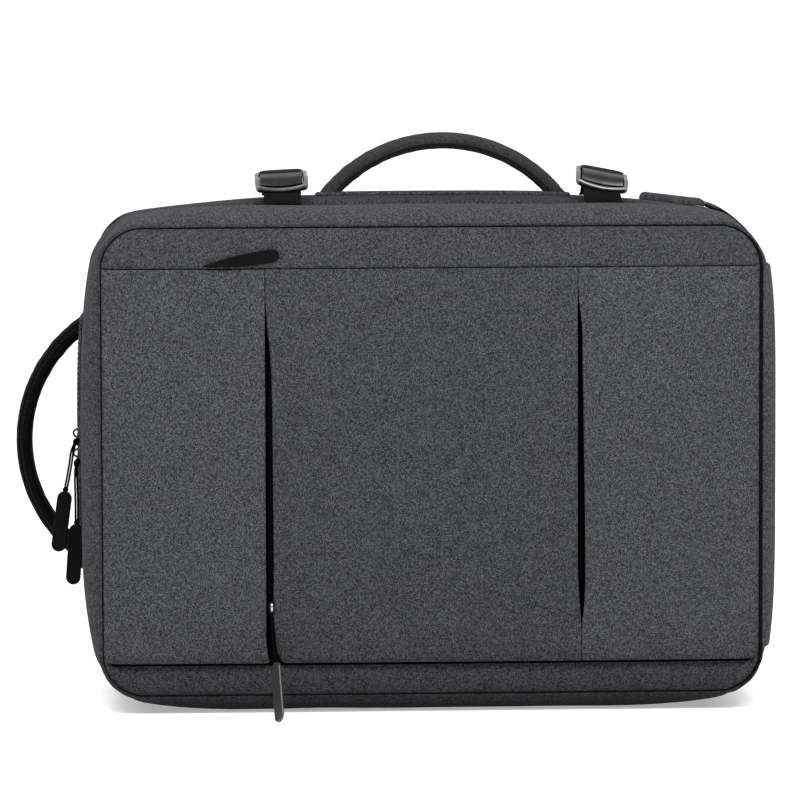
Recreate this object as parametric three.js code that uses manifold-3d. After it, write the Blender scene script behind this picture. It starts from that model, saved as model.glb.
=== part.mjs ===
// Travel backpack standing on its long side, closed, with two carry handles and padded straps.
// Millimetres. +X runs to the right of the front, +Y from the front panel to the back, +Z up.
// The origin lies on the floor, under the middle of the bag's width and depth.
import * as THREE from 'three';
import { mergeVertices } from 'three/addons/utils/BufferGeometryUtils.js';
import Module from 'manifold-3d';

const wasm = await Module();
wasm.setup();

// Body: the flat panels' outline, the two shells' depths and how far the gussets stand out
const PANEL_WIDTH = 438;
const PANEL_HEIGHT = 312;
const PANEL_CORNER = 28;
const PANEL_THICKNESS = 4;
const PANEL_CROWN = 3;
const FRONT_DEPTH = 56;
const ZIP_WIDTH = 10;
const REAR_DEPTH = 84;
const WALL = 3;
const FLOOR_RISE = 12.5;
const BASE_PRESS = 1;
const LEFT_BULGE = 13.5;
const RIGHT_BULGE = 11;
const FRONT_TOP_BULGE = 12;
const REAR_TOP_BULGE = 15;
const PIPING_RADIUS = 2;
const BACK_THICKNESS = 9;
const GAP = 0.3;

// Front face: the two cross seams, the pocket's slit and the pleat
const TOP_BAND_HEIGHT = 27.5;
const BOTTOM_BAND_HEIGHT = 21.5;
const SLIT_X = -109.5;
const SLIT_WIDTH = 5.4;
const SLIT_TOP = 274;
const SLIT_BOTTOM = 50;
const PLEAT_X = 97;
const PLEAT_WIDTH = 5.4;
const PLEAT_TOP = 284;
const PLEAT_BOTTOM = 60;
const FOLD_DEPTH = 3;
const CHAIN_WIDTH = 3;
const CHAIN_THICKNESS = 1.2;
const CHAIN_SHARE = 0.55;

// Right side: the raised panel that the worn bag stands on
const BASE_PANEL_THICKNESS = 2;

// Main zip: the chain's ridge on its tape, and how far the ends run in under the base panel
const TAPE_THICKNESS = 2;
const TAPE_RECESS = 1;
const ZIP_RIDGE = 0.8;
const ZIP_RIDGE_WIDTH = 4;
const ZIP_TUCK = 12;

// Carry handles: padded arcs with a sewn base plate, one on the top and one on the left side
const HANDLE_WIDTH = 28;
const HANDLE_THICKNESS = 11;
const HANDLE_HALF_SPAN = 77;
const TOP_HANDLE_RISE = 36;
const SIDE_HANDLE_RISE = 38.5;
const TOP_HANDLE_X = 12.8;
const SIDE_HANDLE_Z = 174;
const HANDLE_FROM_ZIP = 39;
const HANDLE_BASE_WIDTH = 40;
const HANDLE_BASE_OVERHANG = 9;
const HANDLE_BASE_THICKNESS = 1.6;
const HANDLE_FOOT_TURN = 0.05;

// Compression straps: webbing over the top of the zip through a metal slide
const WEBBING_WIDTH = 25;
const WEBBING_THICKNESS = 1.4;
const LEFT_BUCKLE_X = -97;
const RIGHT_BUCKLE_X = 119;
const LEFT_BUCKLE_ROLL = -3;
const RIGHT_BUCKLE_ROLL = 11;
const BUCKLE_FROM_ZIP = 7;
const BUCKLE_LIFT = 14.5;
const BUCKLE_TILT = 22;
const BUCKLE_BAR = 4;
const BUCKLE_SLOT = 8;
const BUCKLE_ARM = 4;
const BUCKLE_THICKNESS = 2.6;
const BUCKLE_CLEARANCE = 1;
const BUCKLE_CORNER = 3;
const BUCKLE_BEVEL = 0.5;
const STRAP_CLEARANCE = 0.8;
const STRAP_BEND = 0.4;

// Zip sliders and their pulls
const SLIDER_WIDTH = 7;
const POCKET_SLIDER_Z = 72;
const SLIDER_LENGTH = 9;
const SLIDER_HEIGHT = 3;
const SLIDER_CORNER = 2;
const BRIDGE_WIDTH = 2.4;
const BRIDGE_LENGTH = 6;
const BRIDGE_HEIGHT = 2;
const UPPER_SLIDER_Z = 183;
const LOWER_SLIDER_Z = 169.5;
const CORD_DIAMETER = 2.4;
const PAD_WIDTH = 10;
const PAD_THICKNESS = 2.4;
const PAD_LENGTH = 41;
const FRONT_PAD_LENGTH = 45;
const PAD_BEVEL = 0.5;
const PAD_FROM_CORD = 0.5;
const TOP_PULL_FROM_SLIT = 45;
const TOP_PULL_RISE = 3;
const TOP_PULL_SLOPE = 0.15;
const TOP_PULL_NECK = 14;
const NECK_OVERLAP = 1;
const NECK_CORNER = 1;
const NECK_BEVEL = 0.4;

// Shoulder straps on the back, their webbing, and the anchor tab at the top right corner
const STRAP_WIDTH = 58;
const STRAP_THICKNESS = 12;
const ADJUSTER_LENGTH = 20;
const ADJUSTER_WIDTH = 32;
const ADJUSTER_THICKNESS = 4;
const ADJUSTER_CORNER = 3;
const ADJUSTER_BEVEL = 0.6;
const ADJUSTER_FROM_STRAP = 5;
const TAB_LENGTH = 42;
const TAB_WIDTH = 30;
const TAB_THICKNESS = 5;
const TAB_FROM_BACK = 36;
const RING_BAR = 2.4;
const RING_INSIDE = 5;
const RING_CORNER = 2;
const RING_BEVEL = 0.3;
const ANCHOR_SLACK = 0.35;

// Places that follow from these
const FRONT_Y = -(FRONT_DEPTH + ZIP_WIDTH + REAR_DEPTH) / 2;
const BACK_Y = -FRONT_Y;
const ZIP_FRONT_Y = FRONT_Y + FRONT_DEPTH;
const ZIP_REAR_Y = ZIP_FRONT_Y + ZIP_WIDTH;
const ZIP_MIDDLE_Y = (ZIP_FRONT_Y + ZIP_REAR_Y) / 2;
const CENTRE_Z = FLOOR_RISE + PANEL_HEIGHT / 2;
const HALF_WIDTH = PANEL_WIDTH / 2;
const HALF_HEIGHT = PANEL_HEIGHT / 2;
const RUN_X = HALF_WIDTH - PANEL_CORNER;
const RUN_Z = HALF_HEIGHT - PANEL_CORNER;
const EDGE_ROOM = 2 * PIPING_RADIUS + GAP;
const BOTTOM_BULGE = FLOOR_RISE + BASE_PRESS;
const TOP_SEAM_Z = FLOOR_RISE + PANEL_HEIGHT - TOP_BAND_HEIGHT;
const BOTTOM_SEAM_Z = FLOOR_RISE + BOTTOM_BAND_HEIGHT;

// The gusset's section from the panel's edge to the zip: how far it has risen to its crest
const FRONT_ROWS = [
  { along: 0, crest: 0 },
  { along: 0.1, crest: 0.42 },
  { along: 0.26, crest: 0.8 },
  { along: 0.48, crest: 1 },
  { along: 0.8, crest: 1 },
  { along: 1, crest: 0.86 },
];
const REAR_ROWS = [
  { along: 0, crest: 0.86 },
  { along: 0.07, crest: 1 },
  { along: 0.56, crest: 1 },
  { along: 0.8, crest: 0.78 },
  { along: 0.93, crest: 0.42 },
  { along: 1, crest: 0 },
];
const FRONT_SHELL = {
  from: FRONT_Y + EDGE_ROOM,
  to: ZIP_FRONT_Y,
  rows: FRONT_ROWS,
  topBulge: FRONT_TOP_BULGE,
  topPower: 7,
};
const REAR_SHELL = {
  from: ZIP_REAR_Y,
  to: BACK_Y - EDGE_ROOM,
  rows: REAR_ROWS,
  topBulge: REAR_TOP_BULGE,
  topPower: 3,
};
// How squarely the crest holds out towards the corners on the other three sides
const LEFT_POWER = 3.4;
const RIGHT_POWER = 5;
const BOTTOM_POWER = 7;

// Widening of the slit and of the pleat, from the top end to the bottom end of each
const SLIT_SHARES = [
  { down: 0.05, wide: 0.3 },
  { down: 0.18, wide: 0.65 },
  { down: 0.4, wide: 0.92 },
  { down: 0.6, wide: 1 },
  { down: 1, wide: 1 },
];
const PLEAT_SHARES = [
  { down: 0.06, wide: 0.2 },
  { down: 0.25, wide: 0.65 },
  { down: 0.5, wide: 0.88 },
  { down: 0.75, wide: 1 },
  { down: 0.92, wide: 0.9 },
];

// Compression strap off the slide: place from the zip or past the slide's middle as a share of
// the slide's length, and lift off the shell as a share of the slide's lift
const STRAP_FRONT_ROWS = [
  { back: 0.36, lift: 0 },
  { back: 0.18, lift: 0 },
  { back: -0.02, lift: 0.14 },
];
const STRAP_REAR_ROWS = [
  { past: 0.62, lift: 0.69 },
  { past: 0.75, lift: 0.35 },
  { past: 0.98, lift: 0.07 },
  { past: 1.15, lift: 0 },
  { past: 1.4, lift: 0 },
];

// Anchor ring: how far down the corner it points, and its two ends' lifts as shares of the tab's
const RING_SEAT = { corner: 0.32, from: 0.5, to: 0.6 };

// How round the padded sections are: 1 is an ellipse and 0 a rectangle
const SECTION_POWER = 0.7;

const COLOURS = {
  heather: 0x4a4a4d,
  webbing: 0x161618,
  rubber: 0x1c1c1e,
  zip: 0x121213,
  metal: 0x9a9a9c,
  gunmetal: 0x3a3a3c,
  mesh: 0x2c2c2e,
};

const bag = new THREE.Group();

function addMesh(name, geometry, colour, roughness = 0.9, metalness = 0) {
  const material = new THREE.MeshStandardMaterial({ color: COLOURS[colour], roughness, metalness });
  const mesh = new THREE.Mesh(geometry, material);
  mesh.name = name;
  bag.add(mesh);
  return mesh;
}

// Solids from loops and booleans

function signedVolume(geometry) {
  const position = geometry.attributes.position;
  const index = geometry.index.array;
  const [a, b, c] = [new THREE.Vector3(), new THREE.Vector3(), new THREE.Vector3()];
  let volume = 0;
  for (let i = 0; i < index.length; i += 3) {
    a.fromBufferAttribute(position, index[i]);
    b.fromBufferAttribute(position, index[i + 1]);
    c.fromBufferAttribute(position, index[i + 2]);
    volume += a.dot(b.cross(c)) / 6;
  }
  return volume;
}

function facingOut(positions, triangles) {
  const geometry = new THREE.BufferGeometry();
  geometry.setAttribute('position', new THREE.Float32BufferAttribute(positions, 3));
  geometry.setIndex(triangles);
  if (signedVolume(geometry) < 0) {
    geometry.setIndex(triangles.slice().reverse());
  }
  return geometry;
}

// Triangles of a closed loop of points, wound as the loop runs
function capTriangles(loop) {
  const normal = new THREE.Vector3();
  loop.forEach((point, i) => {
    normal.add(new THREE.Vector3().crossVectors(point, loop[(i + 1) % loop.length]));
  });
  const size = [Math.abs(normal.x), Math.abs(normal.y), Math.abs(normal.z)];
  const drop = size.indexOf(Math.max(...size));
  const flat = loop.map((point) => {
    const values = point.toArray();
    values.splice(drop, 1);
    return new THREE.Vector2(...values);
  });
  const turn = Math.sign(THREE.ShapeUtils.area(flat));
  return THREE.ShapeUtils.triangulateShape(flat, []).map(([a, b, c]) => {
    const sameTurn = Math.sign(THREE.ShapeUtils.area([flat[a], flat[b], flat[c]])) === turn;
    return sameTurn ? [a, b, c] : [a, c, b];
  });
}

// A closed skin over a row of equal loops: a ring if the last meets the first, else capped.
// Each quad is split along its shorter diagonal, so a surface and its lifted copy keep their gap.
function skin(loops, ring = false) {
  const count = loops[0].length;
  const positions = loops.flat().flatMap((point) => point.toArray());
  const triangles = [];
  const spans = ring ? loops.length : loops.length - 1;
  for (let i = 0; i < spans; i += 1) {
    const following = (i + 1) % loops.length;
    const [here, next] = [i * count, following * count];
    for (let j = 0; j < count; j += 1) {
      const k = (j + 1) % count;
      const straight = loops[i][j].distanceTo(loops[following][k]);
      const crossed = loops[i][k].distanceTo(loops[following][j]);
      if (straight < crossed) {
        triangles.push(here + j, here + k, next + k, here + j, next + k, next + j);
      } else {
        triangles.push(here + j, here + k, next + j, here + k, next + k, next + j);
      }
    }
  }
  if (!ring) {
    const last = (loops.length - 1) * count;
    capTriangles(loops[0]).forEach(([a, b, c]) => triangles.push(a, c, b));
    capTriangles(loops[loops.length - 1]).forEach(([a, b, c]) => {
      triangles.push(last + a, last + b, last + c);
    });
  }
  return facingOut(positions, triangles);
}

function toSolid(geometry) {
  const bare = geometry.clone();
  bare.deleteAttribute('normal');
  bare.deleteAttribute('uv');
  const merged = mergeVertices(bare, 1e-4);
  return new wasm.Manifold(new wasm.Mesh({
    numProp: 3,
    vertProperties: new Float32Array(merged.attributes.position.array),
    triVerts: new Uint32Array(merged.index.array),
  }));
}

function toGeometry(solid) {
  const mesh = solid.getMesh();
  const geometry = new THREE.BufferGeometry();
  geometry.setAttribute('position', new THREE.BufferAttribute(mesh.vertProperties, 3));
  geometry.setIndex(new THREE.BufferAttribute(mesh.triVerts, 1));
  return geometry;
}

function box(x0, x1, y0, y1, z0, z1) {
  const geometry = new THREE.BoxGeometry(x1 - x0, y1 - y0, z1 - z0);
  geometry.translate((x0 + x1) / 2, (y0 + y1) / 2, (z0 + z1) / 2);
  return geometry;
}

// A flat shape with rounded ends or corners, extruded and centred on its thickness
function roundedPlate(width, length, radius, thickness, bevel, holes = []) {
  const [w, l] = [width / 2 - bevel, length / 2 - bevel];
  const r = Math.min(radius, w, l) - 0.01;
  const shape = new THREE.Shape();
  shape.absarc(w - r, l - r, r, 0, Math.PI / 2);
  shape.absarc(-w + r, l - r, r, Math.PI / 2, Math.PI);
  shape.absarc(-w + r, -l + r, r, Math.PI, Math.PI * 1.5);
  shape.absarc(w - r, -l + r, r, Math.PI * 1.5, Math.PI * 2);
  shape.holes.push(...holes);
  const geometry = new THREE.ExtrudeGeometry(shape, {
    depth: thickness - 2 * bevel,
    bevelEnabled: bevel > 0,
    bevelThickness: bevel,
    bevelSize: bevel,
    bevelSegments: 1,
    curveSegments: 3,
  });
  geometry.translate(0, 0, bevel - thickness / 2);
  return geometry;
}

// The panel outline and the gusset that bulges out of it

function arcStations(cornerX, cornerZ, firstTurn, steps) {
  return Array.from({ length: steps }, (_, i) => {
    const angle = (firstTurn + i / steps) * Math.PI / 2;
    const [nx, nz] = [Math.cos(angle), Math.sin(angle)];
    return { x: cornerX + PANEL_CORNER * nx, z: cornerZ + PANEL_CORNER * nz, nx, nz };
  });
}

function runStations(from, to, nx, nz, steps) {
  return Array.from({ length: steps }, (_, i) => ({
    x: from[0] + (to[0] - from[0]) * i / steps,
    z: from[1] + (to[1] - from[1]) * i / steps,
    nx,
    nz,
  }));
}

const CORNER_STEPS = 5;
const LONG_STEPS = 10;
const SHORT_STEPS = 6;

// Outline points about the panel's centre, from the right side's upper end over the top and round,
// which leaves the right side's straight run for last
const ROUND_TO_RIGHT = [
  ...arcStations(RUN_X, RUN_Z, 0, CORNER_STEPS),
  ...runStations([RUN_X, HALF_HEIGHT], [-RUN_X, HALF_HEIGHT], 0, 1, LONG_STEPS),
  ...arcStations(-RUN_X, RUN_Z, 1, CORNER_STEPS),
  ...runStations([-HALF_WIDTH, RUN_Z], [-HALF_WIDTH, -RUN_Z], -1, 0, SHORT_STEPS),
  ...arcStations(-RUN_X, -RUN_Z, 2, CORNER_STEPS),
  ...runStations([-RUN_X, -HALF_HEIGHT], [RUN_X, -HALF_HEIGHT], 0, -1, LONG_STEPS),
  ...arcStations(RUN_X, -RUN_Z, 3, CORNER_STEPS),
];
const RIGHT_RUN = runStations([HALF_WIDTH, -RUN_Z], [HALF_WIDTH, RUN_Z], 1, 0, SHORT_STEPS);
const OUTLINE = [...ROUND_TO_RIGHT, ...RIGHT_RUN];

function bulgeAt(shell, station) {
  const acrossShare = Math.min(1, Math.abs(station.x) / HALF_WIDTH);
  const upShare = Math.min(1, Math.abs(station.z) / HALF_HEIGHT);
  const vertical = station.nz > 0
    ? shell.topBulge * (1 - acrossShare ** shell.topPower)
    : BOTTOM_BULGE * (1 - acrossShare ** BOTTOM_POWER);
  const sideways = station.nx > 0
    ? RIGHT_BULGE * (1 - upShare ** RIGHT_POWER)
    : LEFT_BULGE * (1 - upShare ** LEFT_POWER);
  return station.nz ** 2 * vertical + station.nx ** 2 * sideways;
}

function rowY(shell, row) {
  return shell.from + row.along * (shell.to - shell.from);
}

function crestAt(shell, y) {
  const { rows } = shell;
  const along = THREE.MathUtils.clamp((y - shell.from) / (shell.to - shell.from), 0, 1);
  const after = Math.max(1, rows.findIndex((row) => row.along >= along));
  const [a, b] = [rows[after - 1], rows[after]];
  return a.crest + (b.crest - a.crest) * (along - a.along) / (b.along - a.along);
}

// A point on a shell's outside, pressed flat on the floor, then lifted along the outline's normal
function gussetPoint(shell, station, y, lift) {
  const out = bulgeAt(shell, station) * crestAt(shell, y);
  const x = station.x + station.nx * out;
  const z = Math.max(0, CENTRE_Z + station.z + station.nz * out);
  return new THREE.Vector3(x + station.nx * lift, y, z + station.nz * lift);
}

function gussetRing(shell) {
  const ys = shell.rows.map((row) => rowY(shell, row));
  return skin(OUTLINE.map((station) => [
    ...ys.map((y) => gussetPoint(shell, station, y, 0)),
    ...ys.map((y) => gussetPoint(shell, station, y, -WALL)).reverse(),
  ]), true);
}

// A thick patch lying on one shell, over a straight run of stations
function gussetPatch(shell, stations, fromY, toY, low, high) {
  const between = shell.rows.map((row) => rowY(shell, row)).filter((y) => y > fromY && y < toY);
  const ys = [fromY, ...between, toY];
  return skin(stations.map((station) => [
    ...ys.map((y) => gussetPoint(shell, station, y, high)),
    ...ys.map((y) => gussetPoint(shell, station, y, low)).reverse(),
  ]));
}

addMesh('front_shell', gussetRing(FRONT_SHELL), 'heather');
addMesh('rear_shell', gussetRing(REAR_SHELL), 'heather');

// Raised panel over the right side, which also hinges the two shells

function basePanel() {
  const stations = [...RIGHT_RUN, { x: HALF_WIDTH, z: RUN_Z, nx: 1, nz: 0 }];
  const [low, high] = [GAP, GAP + BASE_PANEL_THICKNESS];
  const strip = (station, lift) => [FRONT_SHELL, REAR_SHELL].flatMap((shell) => (
    shell.rows.map((row) => gussetPoint(shell, station, rowY(shell, row), lift))
  ));
  return skin(stations.map((station) => [
    ...strip(station, high),
    ...strip(station, low).reverse(),
  ]));
}

addMesh('base_panel', basePanel(), 'heather');

// Main zip: tape and ridge in the gap between the shells, round all but the right side

function mainZip() {
  const rightEnd = (side) => ({ x: HALF_WIDTH, z: side * (RUN_Z - ZIP_TUCK), nx: 1, nz: 0 });
  const lowerStart = { x: HALF_WIDTH, z: -RUN_Z, nx: 1, nz: 0 };
  const stations = [rightEnd(1), ...ROUND_TO_RIGHT, lowerStart, rightEnd(-1)];
  const [from, to] = [ZIP_FRONT_Y + GAP, ZIP_REAR_Y - GAP];
  const ridgeHalf = ZIP_RIDGE_WIDTH / 2;
  const top = -TAPE_RECESS;
  const section = [
    { y: from, lift: top },
    { y: ZIP_MIDDLE_Y - ridgeHalf, lift: top },
    { y: ZIP_MIDDLE_Y - ridgeHalf, lift: top + ZIP_RIDGE },
    { y: ZIP_MIDDLE_Y + ridgeHalf, lift: top + ZIP_RIDGE },
    { y: ZIP_MIDDLE_Y + ridgeHalf, lift: top },
    { y: to, lift: top },
    { y: to, lift: top - TAPE_THICKNESS },
    { y: from, lift: top - TAPE_THICKNESS },
  ];
  return skin(stations.map((station) => section.map(({ y, lift }) => {
    const edge = gussetPoint(FRONT_SHELL, station, ZIP_FRONT_Y, lift);
    return new THREE.Vector3(edge.x, y, edge.z);
  })));
}

addMesh('main_zip', mainZip(), 'zip', 0.6);

// Piping: a round cord bound into the seam round the front and the back panel

function piping(y) {
  const sides = 6;
  return skin(OUTLINE.map((station) => Array.from({ length: sides }, (_, i) => {
    const angle = (i + 0.5) * 2 * Math.PI / sides;
    const out = PIPING_RADIUS * Math.cos(angle);
    return new THREE.Vector3(
      station.x + station.nx * out,
      y + PIPING_RADIUS * Math.sin(angle),
      CENTRE_Z + station.z + station.nz * out,
    );
  })), true);
}

addMesh('front_piping', piping(FRONT_Y + PIPING_RADIUS), 'zip', 0.8);
addMesh('back_piping', piping(BACK_Y - PIPING_RADIUS), 'zip', 0.8);

// Panels: a slab inside the piping, slightly crowned outwards

const CROWN_RINGS = [1, 0.94, 0.78, 0.5];

function panelSlab(edgeY, outward, thickness) {
  const inset = PIPING_RADIUS + GAP;
  const face = (share, depth) => OUTLINE.map((station) => new THREE.Vector3(
    (station.x - station.nx * inset) * share,
    edgeY + outward * (PANEL_CROWN * (1 - share ** 3) + depth),
    CENTRE_Z + (station.z - station.nz * inset) * share,
  ));
  return skin([
    ...CROWN_RINGS.map((share) => face(share, 0)).reverse(),
    ...CROWN_RINGS.map((share) => face(share, thickness)),
  ]);
}

// A long fold with one straight edge and one that bows out, as a cutter through the panel's face
function foldCut(x, top, bottom, width, shares) {
  const shape = new THREE.Shape();
  shape.moveTo(x, top);
  shares.forEach(({ down, wide }) => shape.lineTo(x + wide * width, top + down * (bottom - top)));
  shape.lineTo(x, bottom);
  const floorY = FRONT_Y - PANEL_CROWN + FOLD_DEPTH;
  const reach = FOLD_DEPTH + PANEL_CROWN + PANEL_THICKNESS;
  const geometry = new THREE.ExtrudeGeometry(shape, { depth: reach, bevelEnabled: false });
  geometry.rotateX(Math.PI / 2);
  geometry.translate(0, floorY, 0);
  return toSolid(geometry);
}

function frontPanels() {
  const slab = toSolid(panelSlab(FRONT_Y + PANEL_THICKNESS, -1, PANEL_THICKNESS));
  const half = GAP / 2;
  const all = PANEL_WIDTH;
  const cut = (x0, x1, z0, z1) => slab.intersect(toSolid(box(x0, x1, -all, all, z0, z1)));
  const [low, high] = [BOTTOM_SEAM_Z + half, TOP_SEAM_Z - half];
  const slit = foldCut(SLIT_X, SLIT_TOP, SLIT_BOTTOM, SLIT_WIDTH, SLIT_SHARES);
  const pleat = foldCut(PLEAT_X, PLEAT_TOP, PLEAT_BOTTOM, PLEAT_WIDTH, PLEAT_SHARES);
  return {
    top_band: cut(-all, all, TOP_SEAM_Z + half, CENTRE_Z + all),
    bottom_band: cut(-all, all, CENTRE_Z - all, BOTTOM_SEAM_Z - half),
    pocket_flap: cut(-all, SLIT_X - half, low, high),
    front_panel: cut(SLIT_X + half, all, low, high).subtract(slit).subtract(pleat),
  };
}

Object.entries(frontPanels()).forEach(([name, solid]) => {
  addMesh(name, toGeometry(solid), 'heather');
});
addMesh('back_panel', panelSlab(BACK_Y - PANEL_THICKNESS, 1, BACK_THICKNESS), 'mesh');

// Pocket zip: the chain on the slit's floor, below the stretch where the slit is wide enough
const CHAIN_TOP = SLIT_BOTTOM + (SLIT_TOP - SLIT_BOTTOM) * CHAIN_SHARE;
const CHAIN_FLOOR_Y = FRONT_Y - PANEL_CROWN + FOLD_DEPTH - GAP;
const CHAIN_X = SLIT_X + SLIT_WIDTH / 2;
addMesh('pocket_zip', box(
  CHAIN_X - CHAIN_WIDTH / 2,
  CHAIN_X + CHAIN_WIDTH / 2,
  CHAIN_FLOOR_Y - CHAIN_THICKNESS,
  CHAIN_FLOOR_Y,
  SLIT_BOTTOM + GAP,
  CHAIN_TOP,
), 'zip', 0.5);

// Sweeps: a section of (across, out) pairs carried along points, with the bends mitred

function sweep(points, acrossAt, sectionAt) {
  return skin(points.map((point, i) => {
    const before = points[Math.max(0, i - 1)];
    const after = points[Math.min(points.length - 1, i + 1)];
    const arriving = new THREE.Vector3().subVectors(point, before).normalize();
    const leaving = new THREE.Vector3().subVectors(after, point).normalize();
    const along = new THREE.Vector3().addVectors(arriving, leaving).normalize();
    const across = acrossAt(i, along);
    const out = new THREE.Vector3().crossVectors(along, across).normalize();
    const mitre = 1 / Math.max(along.dot(leaving), along.dot(arriving), 0.5);
    return sectionAt(i).map(([a, o]) => point.clone()
      .addScaledVector(across, a)
      .addScaledVector(out, o * mitre));
  }));
}

function ovalSection(width, thickness, sides, centre = 0) {
  return Array.from({ length: sides }, (_, i) => {
    const angle = (i + 0.5) * 2 * Math.PI / sides;
    const [c, s] = [Math.cos(angle), Math.sin(angle)];
    return [
      Math.sign(c) * Math.abs(c) ** SECTION_POWER * width / 2,
      centre + Math.sign(s) * Math.abs(s) ** SECTION_POWER * thickness / 2,
    ];
  });
}

function flatSection(width, thickness, centre = 0) {
  const [w, t] = [width / 2, thickness / 2];
  return [[-w, centre - t], [w, centre - t], [w, centre + t], [-w, centre + t]];
}

// Carry handles: each a padded arc cut to the curve of its base plate

const SIDES = {
  top: {
    at: (along) => ({ x: along, z: HALF_HEIGHT, nx: 0, nz: 1 }),
    along: new THREE.Vector3(1, 0, 0),
    out: new THREE.Vector3(0, 0, 1),
  },
  left: {
    at: (along) => ({ x: -HALF_WIDTH, z: along - CENTRE_Z, nx: -1, nz: 0 }),
    along: new THREE.Vector3(0, 0, 1),
    out: new THREE.Vector3(-1, 0, 0),
  },
};
const HANDLE_Y = ZIP_REAR_Y + HANDLE_FROM_ZIP;

function handlePieces(side, middle, rise) {
  const reach = HANDLE_HALF_SPAN + HANDLE_BASE_OVERHANG;
  const steps = 10;
  const stations = Array.from({ length: steps + 1 }, (_, i) => (
    side.at(middle + reach * (2 * i / steps - 1))
  ));
  const patch = (halfWidth, low, high) => gussetPatch(
    REAR_SHELL, stations, HANDLE_Y - halfWidth, HANDLE_Y + halfWidth, low, high,
  );
  const plateTop = GAP + HANDLE_BASE_THICKNESS;
  const seat = patch(HANDLE_WIDTH, -2 * HANDLE_THICKNESS, plateTop + GAP);

  const radius = (HANDLE_HALF_SPAN ** 2 + rise ** 2) / (2 * rise);
  const foot = gussetPoint(REAR_SHELL, side.at(middle), HANDLE_Y, 0);
  const centre = foot.clone().addScaledVector(side.out, rise - radius);
  const spread = Math.asin(HANDLE_HALF_SPAN / radius) + HANDLE_FOOT_TURN;
  const bends = 18;
  const points = Array.from({ length: bends + 1 }, (_, i) => {
    const angle = spread * (2 * i / bends - 1);
    return centre.clone()
      .addScaledVector(side.along, radius * Math.sin(angle))
      .addScaledVector(side.out, radius * Math.cos(angle));
  });
  const section = ovalSection(HANDLE_WIDTH, HANDLE_THICKNESS, 12);
  const arc = sweep(points, () => new THREE.Vector3(0, 1, 0), () => section);
  return {
    plate: patch(HANDLE_BASE_WIDTH / 2, GAP, plateTop),
    handle: toGeometry(toSolid(arc).subtract(toSolid(seat))),
  };
}

const topHandle = handlePieces(SIDES.top, TOP_HANDLE_X, TOP_HANDLE_RISE);
addMesh('top_handle_base', topHandle.plate, 'heather');
addMesh('top_handle', topHandle.handle, 'heather');
const sideHandle = handlePieces(SIDES.left, SIDE_HANDLE_Z, SIDE_HANDLE_RISE);
addMesh('side_handle_base', sideHandle.plate, 'heather');
addMesh('side_handle', sideHandle.handle, 'heather');

// Compression straps and their slides

const BUCKLE_WIDTH = WEBBING_WIDTH + 2 * (BUCKLE_CLEARANCE + BUCKLE_ARM);
const BUCKLE_LENGTH = 3 * BUCKLE_BAR + 2 * BUCKLE_SLOT;
const BUCKLE_Y = ZIP_REAR_Y + BUCKLE_FROM_ZIP;
const BUCKLE_Z = CENTRE_Z + HALF_HEIGHT + FRONT_TOP_BULGE + BUCKLE_LIFT;

function slotHole(middle) {
  const [w, l] = [WEBBING_WIDTH / 2 + BUCKLE_CLEARANCE, BUCKLE_SLOT / 2];
  const hole = new THREE.Path();
  hole.moveTo(-w, middle - l);
  hole.lineTo(w, middle - l);
  hole.lineTo(w, middle + l);
  hole.lineTo(-w, middle + l);
  return hole;
}

function buckle() {
  const offset = (BUCKLE_BAR + BUCKLE_SLOT) / 2;
  const holes = [slotHole(-offset), slotHole(offset)];
  return roundedPlate(
    BUCKLE_WIDTH, BUCKLE_LENGTH, BUCKLE_CORNER, BUCKLE_THICKNESS, BUCKLE_BEVEL, holes,
  );
}

// The strap's run in the slide: under the end bars and over the middle one
function strapPoints(x) {
  const tilt = THREE.MathUtils.degToRad(BUCKLE_TILT);
  const held = (along, up) => ({
    y: BUCKLE_Y + along * Math.cos(tilt) - up * Math.sin(tilt),
    z: BUCKLE_Z + along * Math.sin(tilt) + up * Math.cos(tilt),
    roll: 1,
  });
  const topAt = (shell, y) => Math.max(...[-0.5, 0, 0.5].map((share) => {
    const station = SIDES.top.at(x + share * WEBBING_WIDTH);
    return gussetPoint(shell, station, y, GAP + WEBBING_THICKNESS / 2).z;
  }));
  const laid = (shell, y, lift) => ({ y, z: topAt(shell, y) + lift * BUCKLE_LIFT, roll: 0 });
  const under = -(BUCKLE_THICKNESS / 2 + WEBBING_THICKNESS / 2 + STRAP_CLEARANCE);
  const slotIn = BUCKLE_BAR / 2 + BUCKLE_SLOT + STRAP_BEND;
  const barEnd = BUCKLE_LENGTH / 2 + STRAP_BEND;
  const overBar = BUCKLE_BAR / 2 - STRAP_BEND / 2;
  return [
    ...STRAP_FRONT_ROWS.map(({ back, lift }) => (
      laid(FRONT_SHELL, ZIP_FRONT_Y - back * BUCKLE_LENGTH, lift)
    )),
    held(-barEnd, under),
    held(-slotIn, under),
    held(-overBar, -under),
    held(overBar, -under),
    held(slotIn, under),
    held(barEnd, under),
    ...STRAP_REAR_ROWS.map(({ past, lift }) => (
      laid(REAR_SHELL, BUCKLE_Y + past * BUCKLE_LENGTH, lift)
    )),
  ];
}

function compressionStrap(x, rollDegrees) {
  const roll = THREE.MathUtils.degToRad(rollDegrees);
  const rows = strapPoints(x);
  const points = rows.map((row) => (
    new THREE.Vector3(x + row.roll * (row.z - BUCKLE_Z) * Math.sin(roll), row.y, row.z)
  ));
  const acrossAt = (i) => {
    const angle = rows[i].roll * roll;
    return new THREE.Vector3(Math.cos(angle), 0, -Math.sin(angle));
  };
  return sweep(points, acrossAt, () => flatSection(WEBBING_WIDTH, WEBBING_THICKNESS));
}

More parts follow.
